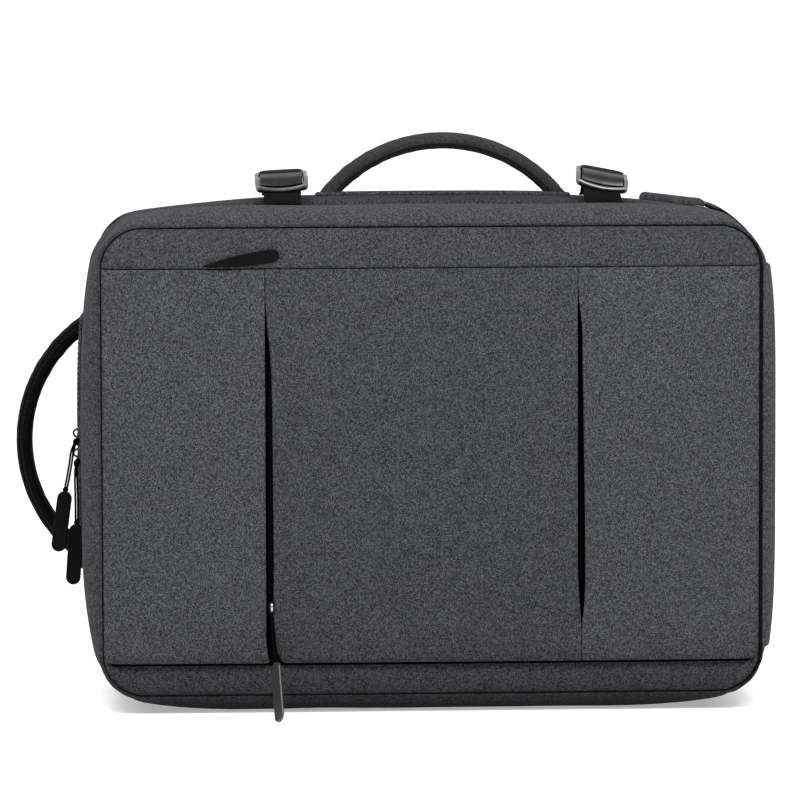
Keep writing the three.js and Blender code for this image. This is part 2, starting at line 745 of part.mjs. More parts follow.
[
  { side: 'left', x: LEFT_BUCKLE_X, roll: LEFT_BUCKLE_ROLL },
  { side: 'right', x: RIGHT_BUCKLE_X, roll: RIGHT_BUCKLE_ROLL },
].forEach(({ side, x, roll }) => {
  addMesh(`compression_strap_${side}`, compressionStrap(x, roll), 'webbing', 0.8);
  const mesh = addMesh(`buckle_${side}`, buckle(), 'metal', 0.35, 1);
  mesh.rotation.order = 'YXZ';
  mesh.rotation.y = THREE.MathUtils.degToRad(roll);
  mesh.rotation.x = THREE.MathUtils.degToRad(BUCKLE_TILT);
  mesh.position.set(x, BUCKLE_Y, BUCKLE_Z);
});

// Sliders: a body on the chain with a bridge that the pull's cord is tied to

function slider(width) {
  const body = roundedPlate(width, SLIDER_LENGTH, SLIDER_CORNER, SLIDER_HEIGHT, 0);
  body.translate(0, 0, SLIDER_HEIGHT / 2);
  const bridge = box(
    -BRIDGE_WIDTH / 2,
    BRIDGE_WIDTH / 2,
    -BRIDGE_LENGTH / 2,
    BRIDGE_LENGTH / 2,
    SLIDER_HEIGHT / 2,
    SLIDER_HEIGHT + BRIDGE_HEIGHT,
  );
  return toGeometry(toSolid(body).add(toSolid(bridge)));
}

// Turns a piece so that its length runs from one point to another and its face looks the given way
function lay(mesh, from, to, facing) {
  const along = new THREE.Vector3().subVectors(to, from).normalize();
  const side = new THREE.Vector3().crossVectors(along, facing).normalize();
  const face = new THREE.Vector3().crossVectors(side, along);
  mesh.quaternion.setFromRotationMatrix(new THREE.Matrix4().makeBasis(side, along, face));
  mesh.position.copy(from);
}

const ZIP_RIDGE_OUT = -TAPE_RECESS + ZIP_RIDGE + GAP;
const sliderSeat = (z) => {
  const seat = gussetPoint(FRONT_SHELL, SIDES.left.at(z), ZIP_FRONT_Y, ZIP_RIDGE_OUT);
  return new THREE.Vector3(seat.x, ZIP_MIDDLE_Y, z);
};
[['main_slider_upper', UPPER_SLIDER_Z], ['main_slider_lower', LOWER_SLIDER_Z]].forEach(([name, z]) => {
  const seat = sliderSeat(z);
  const below = seat.clone().add(new THREE.Vector3(0, 0, -1));
  lay(addMesh(name, slider(SLIDER_WIDTH), 'gunmetal', 0.4, 1), seat, below, SIDES.left.out);
});

const FORWARD = new THREE.Vector3(0, -1, 0);
const POCKET_SEAT = new THREE.Vector3(
  CHAIN_X,
  CHAIN_FLOOR_Y - CHAIN_THICKNESS - GAP,
  POCKET_SLIDER_Z,
);
lay(
  addMesh('pocket_slider', slider(SLIT_WIDTH - 2 * GAP), 'gunmetal', 0.4, 1),
  POCKET_SEAT,
  POCKET_SEAT.clone().add(new THREE.Vector3(0, 0, -1)),
  FORWARD,
);

// Pull cords: each route runs from its slider's bridge to its pad, as chosen points
const CORD_ROUTES = {
  upper: [
    [-234.6, -14, 179.4],
    [-236.6, -14.8, 176.4],
    [-238.5, -15.7, 172],
    [-240, -16.7, 163],
    [-241.7, -17.3, 153.5],
    [-243.6, -17.6, 144.4],
  ],
  lower: [
    [-234.8, -14, 165.8],
    [-236.1, -13.5, 161],
    [-236.5, -12.7, 152],
    [-236.3, -12, 142],
    [-236.2, -11.6, 131],
    [-236.3, -11.2, 121.4],
  ],
  front: [
    [-106.8, -81.2, 68.2],
    [-106.5, -84.8, 62.4],
    [-106.1, -89.6, 54.6],
    [-105.6, -94.8, 46.3],
    [-105.1, -99.9, 38.2],
  ],
};

function pullCord(route) {
  const curve = new THREE.CatmullRomCurve3(route.map((point) => new THREE.Vector3(...point)));
  const section = new THREE.Shape();
  const sides = 8;
  for (let i = 0; i < sides; i += 1) {
    const angle = i * 2 * Math.PI / sides;
    const [x, y] = [Math.cos(angle) * CORD_DIAMETER / 2, Math.sin(angle) * CORD_DIAMETER / 2];
    if (i === 0) section.moveTo(x, y);
    else section.lineTo(x, y);
  }
  return new THREE.ExtrudeGeometry(section, { steps: 8, extrudePath: curve, bevelEnabled: false });
}

function pullPad(length) {
  const geometry = roundedPlate(PAD_WIDTH, length, PAD_WIDTH / 2, PAD_THICKNESS, PAD_BEVEL);
  geometry.translate(0, length / 2, 0);
  return geometry;
}

// Where each pad points and which way its broad face looks
const PULLS = [
  { name: 'upper', length: PAD_LENGTH, along: [-5.6, 0, -42], facing: [0, -1, 0] },
  { name: 'lower', length: PAD_LENGTH, along: [-2.8, 0, -39], facing: [0, -1, 0] },
  { name: 'front', length: FRONT_PAD_LENGTH, along: [2, -28.5, -34.5], facing: [-0.8, -0.6, 0.4] },
];
PULLS.forEach(({ name, length, along, facing }) => {
  const route = CORD_ROUTES[name];
  addMesh(`pull_cord_${name}`, pullCord(route), 'rubber');
  const end = new THREE.Vector3(...route[route.length - 1]);
  const direction = new THREE.Vector3(...along).normalize();
  const start = end.clone().addScaledVector(direction, PAD_FROM_CORD);
  const pad = addMesh(`pull_pad_${name}`, pullPad(length), 'rubber', 0.5);
  lay(pad, start, start.clone().add(direction), new THREE.Vector3(...facing));
});

// Pull of the top pocket: its slider is under the seam, so pad and neck are one piece on the band
function topPull() {
  const neckLength = TOP_PULL_NECK + 2 * NECK_OVERLAP;
  const neck = roundedPlate(CORD_DIAMETER, neckLength, NECK_CORNER, PAD_THICKNESS, NECK_BEVEL);
  neck.translate(0, TOP_PULL_NECK / 2, 0);
  const pad = pullPad(PAD_LENGTH);
  pad.translate(0, TOP_PULL_NECK - NECK_OVERLAP, 0);
  return toGeometry(toSolid(neck).add(toSolid(pad)));
}

const TOP_PULL_START = new THREE.Vector3(
  SLIT_X - TOP_PULL_FROM_SLIT,
  FRONT_Y - PANEL_CROWN * (1 - CROWN_RINGS[2] ** 3) - GAP - PAD_THICKNESS / 2,
  TOP_SEAM_Z + TOP_PULL_RISE,
);
lay(
  addMesh('top_pull', topPull(), 'rubber', 0.5),
  TOP_PULL_START,
  TOP_PULL_START.clone().add(new THREE.Vector3(1, 0, TOP_PULL_SLOPE)),
  FORWARD,
);

// Shoulder straps: padded, side by side on the back, with webbing out to the right corners.
// Columns: share of the half width, share of the half height, share of the width and thickness.
const STRAP_ROWS = [
  { x: -0.9, z: 0.26, wide: 0.9, thick: 0.3 },
  { x: -0.82, z: 0.28, wide: 0.95, thick: 0.8 },
  { x: -0.66, z: 0.33, wide: 1, thick: 1 },
  { x: -0.45, z: 0.41, wide: 1, thick: 1 },
  { x: -0.22, z: 0.47, wide: 1, thick: 1 },
  { x: 0, z: 0.5, wide: 0.96, thick: 1 },
  { x: 0.16, z: 0.51, wide: 0.86, thick: 0.95 },
  { x: 0.26, z: 0.52, wide: 0.7, thick: 0.75 },
  { x: 0.31, z: 0.53, wide: 0.55, thick: 0.35 },
];
const STRAP_Y = BACK_Y - PANEL_THICKNESS + BACK_THICKNESS + PANEL_CROWN + GAP;
const WEBBING_END = { x: 0.88, z: 0.8 };

function backPoint(x, z, half) {
  return new THREE.Vector3(x * HALF_WIDTH, STRAP_Y, CENTRE_Z + half * z * HALF_HEIGHT);
}

function shoulderStrap(half) {
  const points = STRAP_ROWS.map((row) => backPoint(row.x, row.z, half));
  const acrossAt = (_, along) => new THREE.Vector3(0, 1, 0).cross(along).normalize();
  return sweep(points, acrossAt, (i) => {
    const { wide, thick } = STRAP_ROWS[i];
    const thickness = STRAP_THICKNESS * thick;
    return ovalSection(STRAP_WIDTH * wide, thickness, 10, thickness / 2);
  });
}

function webbingRun(from, to) {
  const acrossAt = (_, along) => new THREE.Vector3(0, 1, 0).cross(along).normalize();
  const section = flatSection(WEBBING_WIDTH, WEBBING_THICKNESS, WEBBING_THICKNESS / 2);
  return sweep([from, to], acrossAt, () => section);
}

[['upper', 1], ['lower', -1]].forEach(([name, half]) => {
  addMesh(`shoulder_strap_${name}`, shoulderStrap(half), 'mesh');
  const last = STRAP_ROWS[STRAP_ROWS.length - 1];
  const tip = backPoint(last.x, last.z, half);
  const corner = backPoint(WEBBING_END.x, WEBBING_END.z, half);
  const along = new THREE.Vector3().subVectors(corner, tip).normalize();
  const adjusterStart = tip.clone().addScaledVector(along, ADJUSTER_FROM_STRAP);
  const adjuster = roundedPlate(
    ADJUSTER_WIDTH, ADJUSTER_LENGTH, ADJUSTER_CORNER, ADJUSTER_THICKNESS, ADJUSTER_BEVEL,
  );
  adjuster.translate(0, ADJUSTER_LENGTH / 2, ADJUSTER_THICKNESS / 2);
  const mesh = addMesh(`strap_adjuster_${name}`, adjuster, 'rubber', 0.5);
  lay(mesh, adjusterStart, corner, new THREE.Vector3(0, 1, 0));
  const webbingStart = adjusterStart.clone().addScaledVector(along, ADJUSTER_LENGTH + GAP);
  addMesh(`strap_webbing_${name}`, webbingRun(webbingStart, corner), 'webbing', 0.8);
});

// Anchor tab on the rear shell's top right, with its ring and the webbing down over the corner

const TAB_Y = BACK_Y - TAB_FROM_BACK;

function topStations(from, to, steps) {
  return Array.from({ length: steps + 1 }, (_, i) => SIDES.top.at(from + (to - from) * i / steps));
}

const TAB_END = RUN_X;
addMesh('anchor_tab', gussetPatch(
  REAR_SHELL,
  topStations(TAB_END - TAB_LENGTH, TAB_END, 4),
  TAB_Y - TAB_WIDTH / 2,
  TAB_Y + TAB_WIDTH / 2,
  GAP,
  GAP + TAB_THICKNESS,
), 'heather');

// The ring stands at the tab's end, and the webbing from it follows the corner down
const RING_X = TAB_END + 3 * GAP;
const RING_WIDTH = WEBBING_WIDTH + 2 * (BUCKLE_CLEARANCE + RING_BAR);
const RING_LENGTH = RING_INSIDE + 2 * RING_BAR;

function anchorRing() {
  const hole = new THREE.Path();
  const [w, l] = [RING_WIDTH / 2 - RING_BAR, RING_INSIDE / 2];
  hole.moveTo(-w, -l);
  hole.lineTo(w, -l);
  hole.lineTo(w, l);
  hole.lineTo(-w, l);
  return roundedPlate(RING_WIDTH, RING_LENGTH, RING_CORNER, RING_BAR, RING_BEVEL, [hole]);
}

function cornerPoint(share, lift) {
  const angle = (1 - share) * Math.PI / 2;
  const [nx, nz] = [Math.cos(angle), Math.sin(angle)];
  const station = { x: RUN_X + PANEL_CORNER * nx, z: RUN_Z + PANEL_CORNER * nz, nx, nz };
  return gussetPoint(REAR_SHELL, station, TAB_Y, lift);
}

const ringFrom = gussetPoint(
  REAR_SHELL, SIDES.top.at(RING_X), TAB_Y, TAB_THICKNESS * RING_SEAT.from,
);
const ringTo = cornerPoint(RING_SEAT.corner, TAB_THICKNESS * RING_SEAT.to);
const ring = addMesh('anchor_ring', anchorRing(), 'rubber', 0.5);
lay(ring, ringFrom, ringTo, new THREE.Vector3(0, 0, 1));
ring.translateY(RING_LENGTH / 2);

function anchorWebbing() {
  const shares = [0.24, 0.36, 0.48, 0.6, 0.72, 0.84];
  const lift = GAP + WEBBING_THICKNESS / 2 + ANCHOR_SLACK;
  const points = shares.map((share) => cornerPoint(share, lift));
  const section = flatSection(WEBBING_WIDTH, WEBBING_THICKNESS);
  return sweep(points, () => new THREE.Vector3(0, 1, 0), () => section);
}

addMesh('anchor_webbing', anchorWebbing(), 'webbing', 0.8);

export default bag;
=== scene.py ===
"""Travel backpack, closed and standing on its long side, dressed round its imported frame."""
import math

import bpy
import numpy as np
from bpy.props import FloatProperty, FloatVectorProperty, PointerProperty
from mathutils import Matrix, Vector


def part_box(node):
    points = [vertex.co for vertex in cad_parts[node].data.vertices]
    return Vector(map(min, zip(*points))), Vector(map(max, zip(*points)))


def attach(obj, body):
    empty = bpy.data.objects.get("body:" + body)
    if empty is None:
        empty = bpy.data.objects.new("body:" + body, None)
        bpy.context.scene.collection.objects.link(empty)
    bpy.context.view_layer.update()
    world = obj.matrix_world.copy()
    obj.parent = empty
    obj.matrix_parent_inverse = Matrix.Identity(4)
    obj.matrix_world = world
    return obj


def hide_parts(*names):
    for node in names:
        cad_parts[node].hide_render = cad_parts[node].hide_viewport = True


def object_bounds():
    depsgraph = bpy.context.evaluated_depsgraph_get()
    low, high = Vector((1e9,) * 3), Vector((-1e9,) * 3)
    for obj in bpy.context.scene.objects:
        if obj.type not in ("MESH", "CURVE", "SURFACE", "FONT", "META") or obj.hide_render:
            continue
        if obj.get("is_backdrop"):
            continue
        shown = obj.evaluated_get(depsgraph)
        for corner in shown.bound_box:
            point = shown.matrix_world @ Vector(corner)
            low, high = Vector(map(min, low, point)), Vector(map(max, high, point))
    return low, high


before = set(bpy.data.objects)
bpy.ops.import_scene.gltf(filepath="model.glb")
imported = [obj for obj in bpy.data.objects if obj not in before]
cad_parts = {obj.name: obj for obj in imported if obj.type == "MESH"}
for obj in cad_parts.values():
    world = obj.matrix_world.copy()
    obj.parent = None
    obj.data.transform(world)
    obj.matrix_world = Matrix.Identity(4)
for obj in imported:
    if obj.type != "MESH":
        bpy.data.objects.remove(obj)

bl_info = {
    "name": "Travel Backpack",
    "version": (1, 0, 0),
    "blender": (4, 5, 0),
    "location": "3D View > Sidebar > Backpack",
    "description": "Builds a travel backpack piece by piece, with its stage",
    "category": "Add Mesh",
}

MM = 0.001
RIGHTWARD, BACKWARD, UPWARD = np.eye(3)

# Places read from the frame, in metres
PIPING_RADIUS = 2 * MM
PIPING_LOW, PIPING_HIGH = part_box("front_piping")
PIPING_REACH = PIPING_RADIUS * math.cos(math.pi / 6)
HALF_WIDTH = PIPING_HIGH.x - PIPING_REACH
HALF_HEIGHT = (PIPING_HIGH.z - PIPING_LOW.z) / 2 - PIPING_REACH
CENTRE_Z = (PIPING_HIGH.z + PIPING_LOW.z) / 2
FRONT_Y = PIPING_LOW.y
BACK_Y = -FRONT_Y
FRONT_SHELL_Y = tuple(corner.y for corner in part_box("front_shell"))
REAR_SHELL_Y = tuple(corner.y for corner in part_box("rear_shell"))
ZIP_Y = (FRONT_SHELL_Y[1] + REAR_SHELL_Y[0]) / 2
TOP_SEAM_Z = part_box("top_band")[0].z
BOTTOM_SEAM_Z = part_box("bottom_band")[1].z
SLIT_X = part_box("pocket_flap")[1].x
FLAP_EDGE = SLIT_X - 0.8 * MM

# Sizes of the pieces, in metres
CORNER = 28 * MM
WALL = 2.6 * MM
GAP = 0.3 * MM
PANEL_INSET = 0.5 * MM
PANEL_CROWN = 5.5 * MM
CLOTH = 1.3 * MM
SEAM_HALF = 0.2 * MM
LINING_WIDTH = 16 * MM
SLIDER_LENGTH, SLIDER_PLATE, BRIDGE_REACH = 9 * MM, 2.6 * MM, 2.9 * MM
MAIN_SLIDER_WIDTH, MAIN_BRIDGE_RISE = 7 * MM, 4.8 * MM
POCKET_SLIDER_WIDTH, POCKET_BRIDGE_RISE = 4.8 * MM, 2.6 * MM
CORD_OUT, CORD_BACK, CORD_RADIUS = 1.3 * MM, 1.8 * MM, 1.25 * MM
BOUND_OUT, BOUND_BACK, BOUND_RADIUS = -0.1 * MM, 1.2 * MM, 0.36 * MM
EDGE_REACH = 2.6 * MM
SLIT_WIDTH, SLIT_TOP, SLIT_BOTTOM = 4.4 * MM, 274 * MM, BOTTOM_SEAM_Z
PLEAT_X, PLEAT_WIDTH, PLEAT_TOP, PLEAT_BOTTOM = 97 * MM, 4.4 * MM, 284 * MM, 58 * MM
PLEAT_DRIFT_START, PLEAT_DRIFT = 100 * MM, 2.4 * MM
HANDLE_WIDTH, HANDLE_THICKNESS, HANDLE_HALF_SPAN = 28 * MM, 11 * MM, 77 * MM
TOP_HANDLE_X, TOP_HANDLE_RISE = 12.8 * MM, 36 * MM
SIDE_HANDLE_Z, SIDE_HANDLE_RISE = 174 * MM, 38.5 * MM
HANDLE_Y, HANDLE_SEAM = 30 * MM, math.radians(205)
PLATE_OVERHANG, PLATE_WIDTH, PLATE_THICKNESS = 9 * MM, 40 * MM, 1.6 * MM
WEBBING_WIDTH, WEBBING_THICKNESS = 25 * MM, 1.4 * MM
BUCKLE_TILT = math.radians(22)
BUCKLE_ROLLS = {"left": math.radians(-3), "right": math.radians(11)}
BUCKLE_BAR, BUCKLE_SLOT, BUCKLE_ARM, ARM_WIDTH = 4 * MM, 8 * MM, 4 * MM, 3.4 * MM
BUCKLE_THICKNESS = 2.6 * MM
BUCKLE_WIDTH = WEBBING_WIDTH + 2 * (BUCKLE_ARM + 1 * MM)
BUCKLE_LENGTH = 3 * BUCKLE_BAR + 2 * BUCKLE_SLOT
STRAND = 1.5 * MM
PAD_WIDTH, PAD_THICKNESS = 10 * MM, 2.4 * MM
TOP_PULL_START, TOP_PULL_LENGTH = 41.5 * MM, 51 * MM
STRAP_WIDTH, STRAP_THICKNESS, STRAP_TAPE = 58 * MM, 12 * MM, 22 * MM
ADJUSTER_WIDTH, ADJUSTER_LENGTH, ADJUSTER_THICKNESS = 32 * MM, 20 * MM, 4 * MM
CHANNELS, CHANNEL_DEPTH, CHANNEL_WIDTH = (-0.33, 0.33), 3.2 * MM, 6 * MM
PLATE_SEAM = 3.5 * MM
RING_WIDTH, RING_LENGTH, RING_WIRE = 29 * MM, 9.2 * MM, 3 * MM
TAB_X, TAB_END, TAB_Y, TAB_WIDTH, TAB_THICKNESS = 149 * MM, 191 * MM, 39 * MM, 30 * MM, 5 * MM

# How far a gusset has risen to its crest, from the panel's edge to the zip or back
FRONT_CREST = ((0, 0), (0.1, 0.42), (0.26, 0.8), (0.48, 1), (0.8, 1), (1, 0.86))
REAR_CREST = (
    (0, 0.56), (0.025, 0.76), (0.07, 0.93), (0.13, 1), (0.56, 1), (0.8, 0.78), (0.93, 0.42), (1, 0),
)

# Widening of the slit and of the pleat from the top end down
SLIT_SHARES = (
    (0, 0), (0.03, 0.15), (0.075, 0.33), (0.12, 0.6), (0.215, 0.85), (0.33, 0.97), (0.47, 1), (0.84, 1),
    (0.885, 0.95), (0.925, 1.15), (0.965, 1.55), (0.985, 1.9), (1, 2.3),
)
PLEAT_SHARES = (
    (0, 0), (0.04, 0.12), (0.08, 0.37), (0.13, 0.58), (0.22, 0.63), (0.31, 0.72), (0.49, 0.85), (0.76, 1),
    (0.87, 0.95), (0.92, 0.7), (0.97, 0.3), (1, 0),
)

# Pull cords: where each runs from its slider's bridge to its pad, in millimetres
CORD_ROUTES = {
    "upper": (
        (-234.6, -14, 179.4),
        (-236.6, -14.8, 176.4),
        (-238.5, -15.7, 172),
        (-240, -16.7, 163),
        (-241.7, -17.3, 153.5),
        (-243.6, -17.6, 144.4),
    ),
    "lower": (
        (-234.8, -14, 165.8),
        (-236.1, -13.5, 161),
        (-236.5, -12.7, 152),
        (-236.3, -12, 142),
        (-236.2, -11.6, 131),
        (-236.3, -11.2, 121.4),
    ),
    "front": (
        (-106.8, -81.2, 68.2),
        (-106.5, -84.8, 62.4),
        (-106.1, -89.6, 54.6),
        (-105.6, -94.8, 46.3),
        (-105.1, -99.9, 38.2),
    ),
}
# Each pad's length in millimetres, where it points and which way its broad face looks
PADS = {
    "upper": (41, (-5.6, 0, -42), (0, -1, 0)),
    "lower": (41, (-2.8, 0, -39), (0, -1, 0)),
    "front": (45, (2, -28.5, -34.5), (-0.87, -0.4, 0.36)),
}


# Sizes and colours that a user would change

def length_property(name, description, millimetres, least=0.0):
    return FloatProperty(
        name=name, description=description, default=millimetres * MM, min=least * MM, unit="LENGTH")


class BackpackSizes(bpy.types.PropertyGroup):
    """Sizes of the soft forms."""

    left_bulge: length_property("Left bulge", "How far the left gusset stands out of the panel", 13.5)
    right_bulge: length_property("Right bulge", "How far the right gusset stands out", 11)
    front_top_bulge: length_property("Front top bulge", "How far the front gusset's top stands out", 12)
    rear_top_bulge: length_property("Rear top bulge", "How far the rear gusset's top stands out", 15)
    bottom_bulge: length_property("Bottom bulge", "How far the bottom would stand out off the floor", 13.5)
    pucker: length_property("Pucker", "Height of the puckers along the bound seams", 0.35)
    thread_pitch: length_property("Thread pitch", "Distance between the cloth's threads", 0.68, 0.1)
    overhang: length_property("Overhang", "How far the panels hang over the band below them", 2)


def colour_property(name, description, value):
    return FloatVectorProperty(
        name=name, description=description, default=value, size=3, min=0, max=1, subtype="COLOR")


class BackpackColours(bpy.types.PropertyGroup):
    """Colours of the finishes."""

    heather_dark: colour_property("Heather dark", "Darker yarn of the cloth", (0.0095, 0.0097, 0.0105))
    heather_light: colour_property("Heather light", "Lighter yarn of the cloth", (0.080, 0.082, 0.089))
    handle: colour_property("Handle", "Cloth over the handles", (0.026, 0.026, 0.028))
    webbing: colour_property("Webbing", "Woven straps", (0.0030, 0.0030, 0.0033))
    mesh: colour_property("Mesh", "Spacer mesh on the back", (0.026, 0.026, 0.028))
    rubber: colour_property("Rubber", "Moulded pulls", (0.0025, 0.0025, 0.0027))
    plastic: colour_property("Plastic", "Moulded plastic", (0.0030, 0.0030, 0.0032))
    metal: colour_property("Metal", "Die-cast slides", (0.145, 0.145, 0.15))


# Numbers along lines

def eased(position, table):
    """Cubic through the table's (place, value) pairs, each slope averaged from its neighbours."""
    places, values = np.array(table, float).T
    slopes = np.gradient(values, places)
    i = np.clip(np.searchsorted(places, position) - 1, 0, len(places) - 2)
    span = places[i + 1] - places[i]
    t = np.clip((position - places[i]) / span, 0, 1)
    rise = values[i + 1] - values[i]
    start = slopes[i] * span - rise
    end = rise - slopes[i + 1] * span
    return values[i] + t * rise + t * (1 - t) * (start * (1 - t) + end * t)


def clustered(count, share=0.85):
    """Numbers from 0 to 1, closest together at both ends: t less a sine of one turn."""
    t = np.linspace(0, 1, count)
    return t - share * np.sin(2 * np.pi * t) / (2 * np.pi)


def rolled(distance, radius, depth):
    """Depth of a rolled edge: a quarter of an ellipse that is level past the radius."""
    near = 1 - np.clip(distance / radius, 0, 1)
    return depth * (1 - np.sqrt(np.clip(1 - near ** 2, 0, 1)))


def bell(distance, width):
    """One at no distance, and e to the minus square of distance over width away from it."""
    return np.exp(-(distance / width) ** 2)


def round_end(share, power, least=0.0):
    """Half width of a superellipse from -1 to 1 along it, kept above the root of the least."""
    return np.sqrt(np.clip(1 - np.abs(share) ** power, least, 1))


def ripple(distance, wavelength, seed, around=None):
    """Sum of six sines near one wavelength with seeded phases, whole turns on a closed line."""
    random = np.random.default_rng(seed)
    waves = wavelength * random.uniform(0.6, 1.7, 6)
    if around is not None:
        waves = around / np.maximum(1, np.round(around / waves))
    phase = random.uniform(0, 2 * np.pi, 6)
    return np.sin(2 * np.pi * np.asarray(distance)[..., None] / waves + phase).mean(-1) * 1.7


def along_line(points):
    """Distance walked along a line of points."""
    steps = np.linalg.norm(np.diff(points, axis=0), axis=1)
    return np.concatenate([[0], np.cumsum(steps)])


def sampled(at, walked, rows):
    """Rows of three numbers read off at distances along a line."""
    return np.stack([np.interp(at, walked, rows[:, axis]) for axis in range(3)], -1)


def smooth_line(points, count):
    """Catmull-Rom curve through points, with count samples evenly spaced along it."""
    points = np.array(points, float)
    at = along_line(points)
    fine = np.linspace(0, at[-1], 40 * len(points))
    slopes = np.gradient(points, at, axis=0)
    i = np.clip(np.searchsorted(at, fine) - 1, 0, len(at) - 2)
    span = (at[i + 1] - at[i])[:, None]
    t = (fine[:, None] - at[i][:, None]) / span
    rise = points[i + 1] - points[i]
    start, end = slopes[i] * span - rise, rise - slopes[i + 1] * span
    curve = points[i] + t * rise + t * (1 - t) * (start * (1 - t) + end * t)
    walked = along_line(curve)
    return sampled(np.linspace(0, walked[-1], count), walked, curve)


def together(*parts):
    """Arrays of any matching shapes as the last axis of one."""
    return np.stack(np.broadcast_arrays(*parts), -1)


def unit(vectors):
    vectors = np.asarray(vectors, float)
    return vectors / np.linalg.norm(vectors, axis=-1, keepdims=True)


# Meshes from grids. A shell is a dictionary of points, faces and a UV pair in metres per corner.

def grid_faces(numbers, u, v):
    """Quads between neighbours of a grid of point numbers, with their corners' UVs."""
    a, b = numbers[:-1, :-1], numbers[1:, :-1]
    c, d = numbers[1:, 1:], numbers[:-1, 1:]
    quads = np.stack([a, b, c, d], -1).reshape(-1, 4)
    uu, vv = np.meshgrid(u, v, indexing="ij")
    uv = np.stack([uu, vv], -1)
    corners = np.stack([uv[:-1, :-1], uv[1:, :-1], uv[1:, 1:], uv[:-1, 1:]], -2)
    return quads, corners.reshape(-1, 4, 2)


def outward(shell):
    """The shell with its faces turned to point out, judged by the volume that they enclose."""
    points, quads = shell["points"], shell["quads"]
    centre = points.mean(0)
    a, b, c, d = (points[quads[:, k]] - centre for k in range(4))
    volume = np.einsum("ij,ij->i", a, np.cross(b, c) + np.cross(c, d)).sum()
    if volume < 0:
        shell["quads"] = quads[:, ::-1]
        shell["quad_uv"] = shell["quad_uv"][:, ::-1]
        shell["tris"] = shell["tris"][:, ::-1]
        shell["tri_uv"] = shell["tri_uv"][:, ::-1]
    return shell


def tube(points, ring=False, u=None, v=None):
    """Closed skin over a grid whose second direction closes on itself. The first direction
    closes too for a ring, and else each end is closed by triangles to its middle."""
    n, m = points.shape[:2]
    middle = points.mean(1)
    u = along_line(np.vstack([middle, middle[:1]]) if ring else middle) if u is None else u
    around = np.concatenate([points[n // 2], points[n // 2, :1]])
    v = along_line(around) if v is None else v
    numbers = np.arange(n * m).reshape(n, m)
    numbers = np.concatenate([numbers, numbers[:, :1]], 1)
    if ring:
        numbers = np.concatenate([numbers, numbers[:1]], 0)
    quads, quad_uv = grid_faces(numbers, u, v)
    flat = points.reshape(-1, 3)
    tris, tri_uv = np.zeros((0, 3), int), np.zeros((0, 3, 2))
    if not ring:
        flat = np.concatenate([flat, middle[:1], middle[-1:]])
        first, last = numbers[0], numbers[-1]
        pole = np.full(m, n * m)
        tris = np.concatenate([
            np.stack([first[:-1], first[1:], pole], -1),
            np.stack([last[1:], last[:-1], pole + 1], -1),
        ])
        ends = [np.full(m, u[0]), np.full(m, u[-1])]
        tri_uv = np.concatenate([
            np.stack([np.stack([e, e, e], -1), np.stack([v[:-1], v[1:], v[:-1]], -1)], -1)
            for e in ends
        ])
    return outward({"points": flat, "quads": quads, "quad_uv": quad_uv, "tris": tris, "tri_uv": tri_uv})


def slab(front, back, u=None, v=None):
    """Closed slab between two equal grids: both faces and the rim round them."""
    n, m = front.shape[:2]
    u = along_line(front[:, m // 2]) if u is None else u
    v = along_line(front[n // 2]) if v is None else v
    numbers = np.arange(n * m).reshape(n, m)
    quads, uv = grid_faces(numbers, u, v)
    edge = np.concatenate([numbers[0, :-1], numbers[:-1, -1], numbers[-1, :0:-1], numbers[:0:-1, 0]])
    after = np.roll(edge, -1)
    rim = np.stack([after, edge, edge + n * m, after + n * m], -1)
    uu, vv = np.meshgrid(u, v, indexing="ij")
    flat_uv = np.stack([uu, vv], -1).reshape(-1, 2)
    rim_uv = np.stack([flat_uv[after], flat_uv[edge], flat_uv[edge], flat_uv[after]], 1)
    return outward({
        "points": np.concatenate([front.reshape(-1, 3), back.reshape(-1, 3)]),
        "quads": np.concatenate([quads, quads[:, ::-1] + n * m, rim]),
        "quad_uv": np.concatenate([uv, uv[:, ::-1], rim_uv]),
        "tris": np.zeros((0, 3), int),
        "tri_uv": np.zeros((0, 3, 2)),
    })


def merged(shells):
    """One shell of several, none of them joined."""
    starts = np.cumsum([0] + [len(shell["points"]) for shell in shells[:-1]])
    return {
        "points": np.concatenate([shell["points"] for shell in shells]),
        "quads": np.concatenate([shell["quads"] + at for shell, at in zip(shells, starts)]),
        "quad_uv": np.concatenate([shell["quad_uv"] for shell in shells]),
        "tris": np.concatenate([shell["tris"] + at for shell, at in zip(shells, starts)]),
        "tri_uv": np.concatenate([shell["tri_uv"] for shell in shells]),
    }


def copied(shell, origins, axes):
    """Copies of a shell at many places: each point is the origin plus its shares of three axes."""
    count, size = len(origins), len(shell["points"])
    points = np.einsum("pk,nkj->npj", shell["points"], axes) + origins[:, None]
    offsets = (np.arange(count) * size)[:, None, None]
    return {
        "points": points.reshape(-1, 3),
        "quads": (shell["quads"][None] + offsets).reshape(-1, 4),
        "quad_uv": np.tile(shell["quad_uv"], (count, 1, 1)),
        "tris": (shell["tris"][None] + offsets).reshape(-1, 3),
        "tri_uv": np.tile(shell["tri_uv"], (count, 1, 1)),
    }


def placed(shell, origin, side, along, face):
    """The shell moved so that its own axes run along the three given directions."""
    return copied(shell, np.array([origin], float), np.array([[side, along, face]], float))


